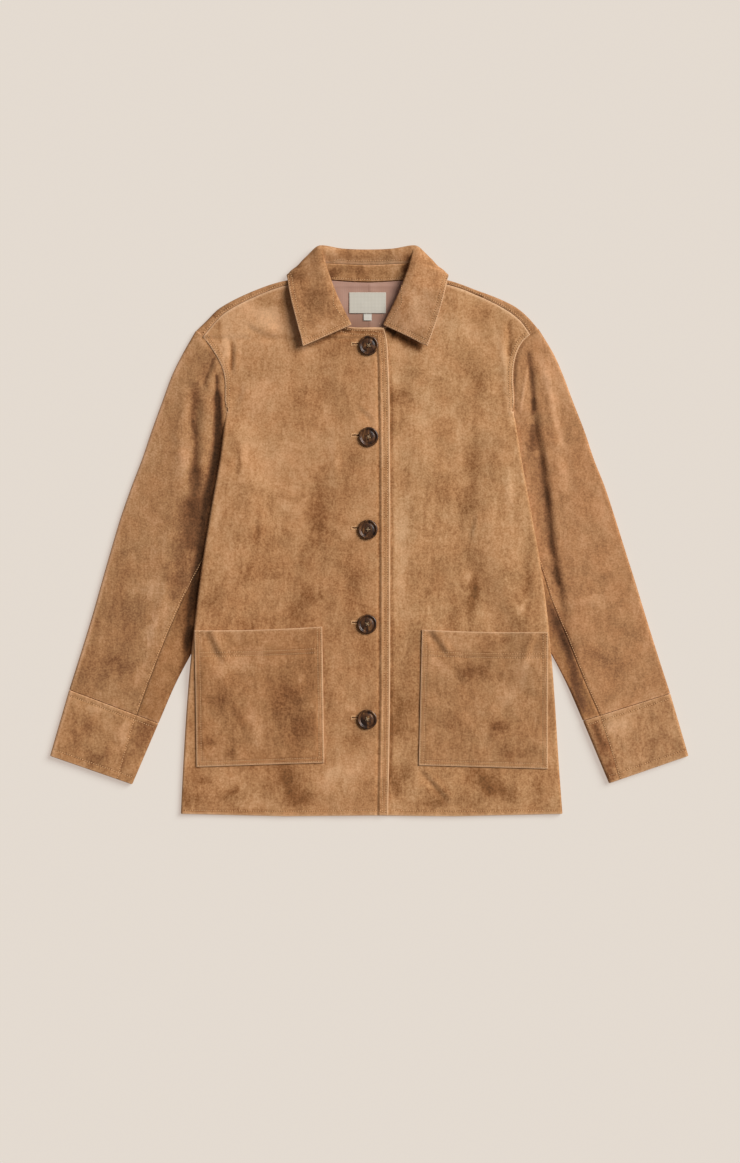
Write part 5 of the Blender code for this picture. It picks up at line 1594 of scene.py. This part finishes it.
def suede(piece):
    """Sueded calf, split and brushed: a short soft nap that shows every stroke as a light or dark
    patch, with no gloss and a faint bloom of sheen where it is seen at a low angle."""
    dark, plain, light = (paint(code) for code in HIDES[piece])
    edge_wear_and_highlight, edge_pale_wear_and_highlight = WORN_HIGHLIT_EDGES.get(piece, PLAIN_WORN_HIGHLIT_EDGE)
    seed = float(sorted(HIDES).index(piece)) * 3.7
    material, tree, shader = finish(piece + "_suede", {
        "Roughness": 0.95, "Specular IOR Level": 0.12, "Sheen Weight": 0.10, "Sheen Roughness": 0.45,
        "Sheen Tint": paint("e6c7a4"),
    })
    where = node(tree, "ShaderNodeTexCoord").outputs["Object"]
    shifted = node(tree, "ShaderNodeMapping", {"Location": (seed, seed * 0.7, 0.0)}, {"Vector": where})
    spot = shifted.outputs["Vector"]
    # Patches from handling that break up into ever smaller ones, strokes along the hide, and
    # tufts, which are drawn about three times their real width so that they show.
    patches = node(tree, "ShaderNodeTexNoise", {
        "Scale": per_mm(48.0), "Detail": 10.0, "Roughness": 0.72, "Distortion": 0.7}, {"Vector": spot})
    squeezed = node(tree, "ShaderNodeMapping", {
        "Scale": (1.0, 0.30, 1.0), "Rotation": (0.0, 0.0, 0.16)}, {"Vector": spot})
    strokes = node(tree, "ShaderNodeTexNoise", {
        "Scale": per_mm(11.0), "Detail": 7.0, "Roughness": 0.68, "Distortion": 1.0,
    }, {"Vector": squeezed.outputs["Vector"]})
    clumps = node(tree, "ShaderNodeTexNoise", {
        "Scale": per_mm(4.0), "Detail": 4.0, "Roughness": 0.7, "Distortion": 0.3}, {"Vector": spot})
    tufts = node(tree, "ShaderNodeTexNoise", {"Scale": per_mm(2.3), "Detail": 1.0, "Roughness": 0.7},
                 {"Vector": spot})
    nap_and_light_paint = node(tree, "ShaderNodeAttribute", {"attribute_name": "nap"})
    rubbed = node(tree, "ShaderNodeAttribute", {"attribute_name": "rubbed"})
    pressed = node(tree, "ShaderNodeAttribute", {"attribute_name": "pressed"})

    def swing(source, spread, share):
        return node(tree, "ShaderNodeMapRange", {
            "interpolation_type": "SMOOTHSTEP", "From Min": 0.5 - spread, "From Max": 0.5 + spread,
            "To Min": -share / 2, "To Max": share / 2,
        }, {"Value": source.outputs["Fac"]}).outputs["Result"]

    # The nap value from the mesh carries painted shade and painted highlights as well as the nap's own
    # strokes.
    total = nap_and_light_paint.outputs["Fac"]
    for added in (swing(patches, 0.12, 0.25), swing(strokes, 0.20, 0.34)):
        total = node(tree, "ShaderNodeMath", {"operation": "ADD"}, {0: added, 1: total}).outputs[0]
    # Edges are made lighter, partly wear and partly a painted highlight; stitch lines darker, partly
    # pressed nap and partly painted shade in their channels.
    for painted_light, share in ((rubbed, edge_wear_and_highlight), (pressed, -0.22)):
        total = node(tree, "ShaderNodeMath", {"operation": "MULTIPLY_ADD", 1: share},
                     {0: painted_light.outputs["Fac"], 2: total}).outputs[0]
    # Even the darkest painted shade in a crease and the lightest rub or painted highlight keep their
    # tufts: those are added last, more faintly where it is painted darkest.
    place = node(tree, "ShaderNodeMapRange", {
        "interpolation_type": "SMOOTHSTEP", "From Min": -1.5, "From Max": 1.5,
        "To Min": 0.04, "To Max": 0.95,
    }, {"Value": total}).outputs["Result"]
    away_from_dark = node(tree, "ShaderNodeMapRange", {
        "From Min": 0.05, "From Max": 0.34, "To Min": 0.35, "To Max": 1.0,
    }, {"Value": place}).outputs["Result"]
    for added in (swing(clumps, 0.24, 0.12), swing(tufts, 0.26, 0.17)):
        place = node(tree, "ShaderNodeMath", {"operation": "MULTIPLY_ADD"},
                     {0: added, 1: away_from_dark, 2: place}).outputs[0]
    ramp = node(tree, "ShaderNodeValToRGB", {}, {"Fac": place})
    stops = ramp.color_ramp.elements
    # The ramp runs on past the dark and the light shade: far darker for painted shade in hollows,
    # lighter for painted highlights.
    stops[0].color = tuple(0.16 * c for c in dark[:3]) + (1.0,)
    stops[1].color = tuple(1.25 * c for c in light[:3]) + (1.0,)
    for at, shade in ((0.26, dark), (0.5, plain), (0.78, light)):
        stops.new(at).color = shade
    # The dye takes a little redder and a little greener from place to place.
    dye = node(tree, "ShaderNodeTexNoise", {"Scale": per_mm(30.0), "Detail": 5.0, "Roughness": 0.6},
               {"Vector": spot})
    cast = node(tree, "ShaderNodeMapRange", {"From Min": 0.38, "From Max": 0.62},
                {"Value": dye.outputs["Fac"]})
    casts = node(tree, "ShaderNodeMix", {
        "data_type": "RGBA", "A": paint("fff8f2"), "B": paint("fcfbf8"),
    }, {"Factor": cast.outputs["Result"]})
    dyed = node(tree, "ShaderNodeMix", {"data_type": "RGBA", "blend_type": "MULTIPLY", "Factor": 1.0},
                {"A": ramp.outputs["Color"], "B": casts.outputs["Result"]})
    # Along an edge a paler colour is mixed in: partly dye worn thin, partly a painted highlight.
    wear_and_highlight_mask = node(tree, "ShaderNodeMath", {"operation": "MULTIPLY"},
                {0: rubbed.outputs["Fac"], 1: away_from_dark})
    wear_and_highlight_amount = node(tree, "ShaderNodeMath", {"operation": "MULTIPLY", 1: edge_pale_wear_and_highlight}, {0: wear_and_highlight_mask.outputs[0]})
    worn_and_highlit_dye = node(tree, "ShaderNodeMix", {"data_type": "RGBA", "B": paint("dfbf9e")},
                    {"A": dyed.outputs["Result"], "Factor": wear_and_highlight_amount.outputs[0]})
    tree.links.new(worn_and_highlit_dye.outputs["Result"], shader.inputs["Base Color"])
    grain = node(tree, "ShaderNodeBump", {"Strength": 0.28, "Distance": 0.0005},
                 {"Height": clumps.outputs["Fac"]})
    fuzz = node(tree, "ShaderNodeBump", {"Strength": 0.36, "Distance": 0.0003},
                {"Height": tufts.outputs["Fac"], "Normal": grain.outputs["Normal"]})
    tree.links.new(fuzz.outputs["Normal"], shader.inputs["Normal"])
    return material


def satin():
    """Viscose satin lining: long floats give a soft streaked gloss across the threads."""
    material, tree, shader = finish("viscose_satin", {
        "Roughness": 0.42, "Specular IOR Level": 0.35, "Anisotropic": 0.5, "Sheen Weight": 0.15,
        "Sheen Tint": paint("d8a99b"),
    })
    where = node(tree, "ShaderNodeTexCoord").outputs["Object"]
    warp = node(tree, "ShaderNodeTexWave", {
        "wave_type": "BANDS", "bands_direction": "X", "Scale": per_mm(1.4) / WAVE_TURN,
        "Distortion": 1.2, "Detail": 2.0,
    }, {"Vector": where})
    cloud = node(tree, "ShaderNodeTexNoise", {"Scale": per_mm(22.0), "Detail": 3.0}, {"Vector": where})
    mix = node(tree, "ShaderNodeMix", {"data_type": "RGBA", "A": paint("9c7565"), "B": paint("b28c7a")},
               {"Factor": cloud.outputs["Fac"]})
    # Painted shade: darker low down, where the collar's fronts close over it.
    place = node(tree, "ShaderNodeSeparateXYZ", {}, {"Vector": where})
    down = node(tree, "ShaderNodeMapRange", {"From Min": 0.285, "From Max": 0.258},
                {"Value": place.outputs["Y"]})
    painted_light = node(tree, "ShaderNodeMix", {
        "data_type": "RGBA", "blend_type": "MULTIPLY", "B": paint("dcd8cf"),
    }, {"Factor": down.outputs["Result"], "A": mix.outputs["Result"]})
    tree.links.new(painted_light.outputs["Result"], shader.inputs["Base Color"])
    bump = node(tree, "ShaderNodeBump", {"Strength": 0.15, "Distance": 0.0002},
                {"Height": warp.outputs["Fac"]})
    tree.links.new(bump.outputs["Normal"], shader.inputs["Normal"])
    return material


def woven_tape(name, code):
    """Damask label tape: a fine plain weave with a dry, paper-like face."""
    material, tree, shader = finish(name, {"Roughness": 0.8, "Specular IOR Level": 0.25})
    where = node(tree, "ShaderNodeTexCoord").outputs["Object"]
    threads = [node(tree, "ShaderNodeTexWave", {
        "wave_type": "BANDS", "bands_direction": way, "Scale": per_mm(0.9) / WAVE_TURN,
    }, {"Vector": where}) for way in "XY"]
    weave = node(tree, "ShaderNodeMath", {"operation": "MULTIPLY"},
                 {0: threads[0].outputs["Fac"], 1: threads[1].outputs["Fac"]})
    mix = node(tree, "ShaderNodeMix", {"data_type": "RGBA", "A": paint(code[0]), "B": paint(code[1])},
               {"Factor": weave.outputs[0]})
    tree.links.new(mix.outputs["Result"], shader.inputs["Base Color"])
    bump = node(tree, "ShaderNodeBump", {"Strength": 0.3, "Distance": 0.0002},
                {"Height": weave.outputs[0]})
    tree.links.new(bump.outputs["Normal"], shader.inputs["Normal"])
    return material


def mottled(name, settings, size, low, high):
    """A finish that drifts between two shades in soft spots of about this size in millimetres."""
    material, tree, shader = finish(name, settings)
    where = node(tree, "ShaderNodeTexCoord").outputs["Object"]
    spots = node(tree, "ShaderNodeTexNoise", {"Scale": per_mm(size), "Detail": 2.0}, {"Vector": where})
    mix = node(tree, "ShaderNodeMix", {"data_type": "RGBA", "A": paint(low), "B": paint(high)},
               {"Factor": spots.outputs["Fac"]})
    tree.links.new(mix.outputs["Result"], shader.inputs["Base Color"])
    return material


def spun_thread(name, low, high):
    """Bonded polyester thread: twisted plies with a dull, even face."""
    return mottled(name, {"Roughness": 0.7, "Specular IOR Level": 0.2}, 1.1, low, high)


def needle_hole():
    """Painted shadow for the pit of a needle hole in suede and for a buttonhole's slit: dull and dark.
    """
    return mottled("needle_hole", {"Roughness": 1.0, "Specular IOR Level": 0.05}, 2.5,
                   "5c3b24", "80593a")


def polished_horn():
    """Buffalo horn, turned and polished: dark brown with amber streaks and a soft gloss."""
    material, tree, shader = finish("polished_horn", {
        "Roughness": 0.30, "IOR": 1.54, "Specular IOR Level": 0.4,
    })
    where = node(tree, "ShaderNodeTexCoord").outputs["Object"]
    drawn = node(tree, "ShaderNodeMapping", {"Scale": (1.0, 0.35, 1.0), "Rotation": (0.0, 0.0, 0.6)},
                 {"Vector": where})
    streaks = node(tree, "ShaderNodeTexNoise", {
        "Scale": per_mm(6.5), "Detail": 4.0, "Roughness": 0.6, "Distortion": 1.4,
    }, {"Vector": drawn.outputs["Vector"]})
    ramp = node(tree, "ShaderNodeValToRGB", {}, {"Fac": streaks.outputs["Fac"]})
    stops = ramp.color_ramp.elements
    stops[0].position, stops[0].color = 0.38, paint("22120a")
    stops[1].position, stops[1].color = 0.74, paint("a8794a")
    stops.new(0.55).color = paint("55351d")
    tree.links.new(ramp.outputs["Color"], shader.inputs["Base Color"])
    return material


def backdrop():
    """Matte paper on a light table: one even pale tone that glows enough to keep shadows faint."""
    return mottled("matte_paper", {
        "Roughness": 1.0, "Specular IOR Level": 0.0,
        "Emission Color": paint("bcaea4"), "Emission Strength": 1.0,
    }, 2.0, "8b8e8a", "8e918d")


def studio():
    """Pale table, one soft lamp to the right of the collar, even light from all round, and
    the camera straight above."""
    mesh = bpy.data.meshes.new("table_top")
    mesh.from_pydata([(x * TABLE_HALF, y * TABLE_HALF, TABLE_TOP)
                      for x, y in ((-1, -1), (1, -1), (1, 1), (-1, 1))], [], [(0, 1, 2, 3)])
    mesh.materials.append(backdrop())
    placed("table_top", mesh)
    lamp = bpy.data.lights.new("soft_lamp", "SUN")
    lamp.energy, lamp.angle, lamp.color = LAMP_POWER, math.radians(LAMP_SPREAD), LAMP_TINT
    placed("soft_lamp", lamp).rotation_euler = Vector(LAMP_FROM).to_track_quat("Z", "Y").to_euler()
    world = bpy.data.worlds.new("studio")
    world.use_nodes = True
    sky = world.node_tree.nodes["Background"]
    sky.inputs["Color"].default_value = SKY_TINT
    sky.inputs["Strength"].default_value = SKY_POWER
    lens = bpy.data.cameras.new("overhead")
    lens.lens, lens.sensor_width, lens.sensor_fit = CAMERA_LENS, 36.0, "AUTO"
    lens.clip_start, lens.clip_end = 0.1, 50.0
    camera = placed("overhead", lens)
    camera.location = (CAMERA_X, CAMERA_Y, CAMERA_HEIGHT)
    scene = bpy.context.scene
    scene.world, scene.camera = world, camera
    scene.view_settings.view_transform = "Standard"


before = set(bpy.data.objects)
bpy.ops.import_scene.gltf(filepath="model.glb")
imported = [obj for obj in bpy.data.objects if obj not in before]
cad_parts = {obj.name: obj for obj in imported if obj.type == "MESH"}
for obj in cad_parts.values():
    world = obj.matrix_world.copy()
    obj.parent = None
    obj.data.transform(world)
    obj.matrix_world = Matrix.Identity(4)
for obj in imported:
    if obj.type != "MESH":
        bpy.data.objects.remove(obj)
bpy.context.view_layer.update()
THREAD = spun_thread("suede_thread", "cc9c69", "eec294")
PAINTED_HOLE_SHADOW = needle_hole()
PALE_THREAD = spun_thread("button_thread", "8d7152", "c2a886")
SATIN = satin()
HORN = polished_horn()
TAPE = woven_tape("cream_damask", ("beb8ab", "d2ccc0"))
TAB_TAPE = woven_tape("white_damask", ("c8c3b8", "e0dbd0"))

studio()
left_front = front(-1)
front(1)
back()
for hand in (-1, 1):
    sleeve(hand)
    cuff(hand)
collar()
lining()
tag("neck_label", LABEL_BOX, TAPE, 0.25)
tag("size_tab", TAB_BOX, TAB_TAPE, 0.05)
for one in POCKETS:
    pocket(one)
for index, level in enumerate(BUTTON_LEVELS, 1):
    button(index, level)
    buttonhole(index, level, left_front)

for name, cut in CUTS.items():
    kinds = ("topstitching", "needle_holes") if cut.sewn else ()
    sewn = [PIECES[cut.sewn.format(kind)] for kind in kinds]
    if name == "front_left":
        sewn += [PIECES[key] for key in PIECES if key.startswith("buttonhole")]
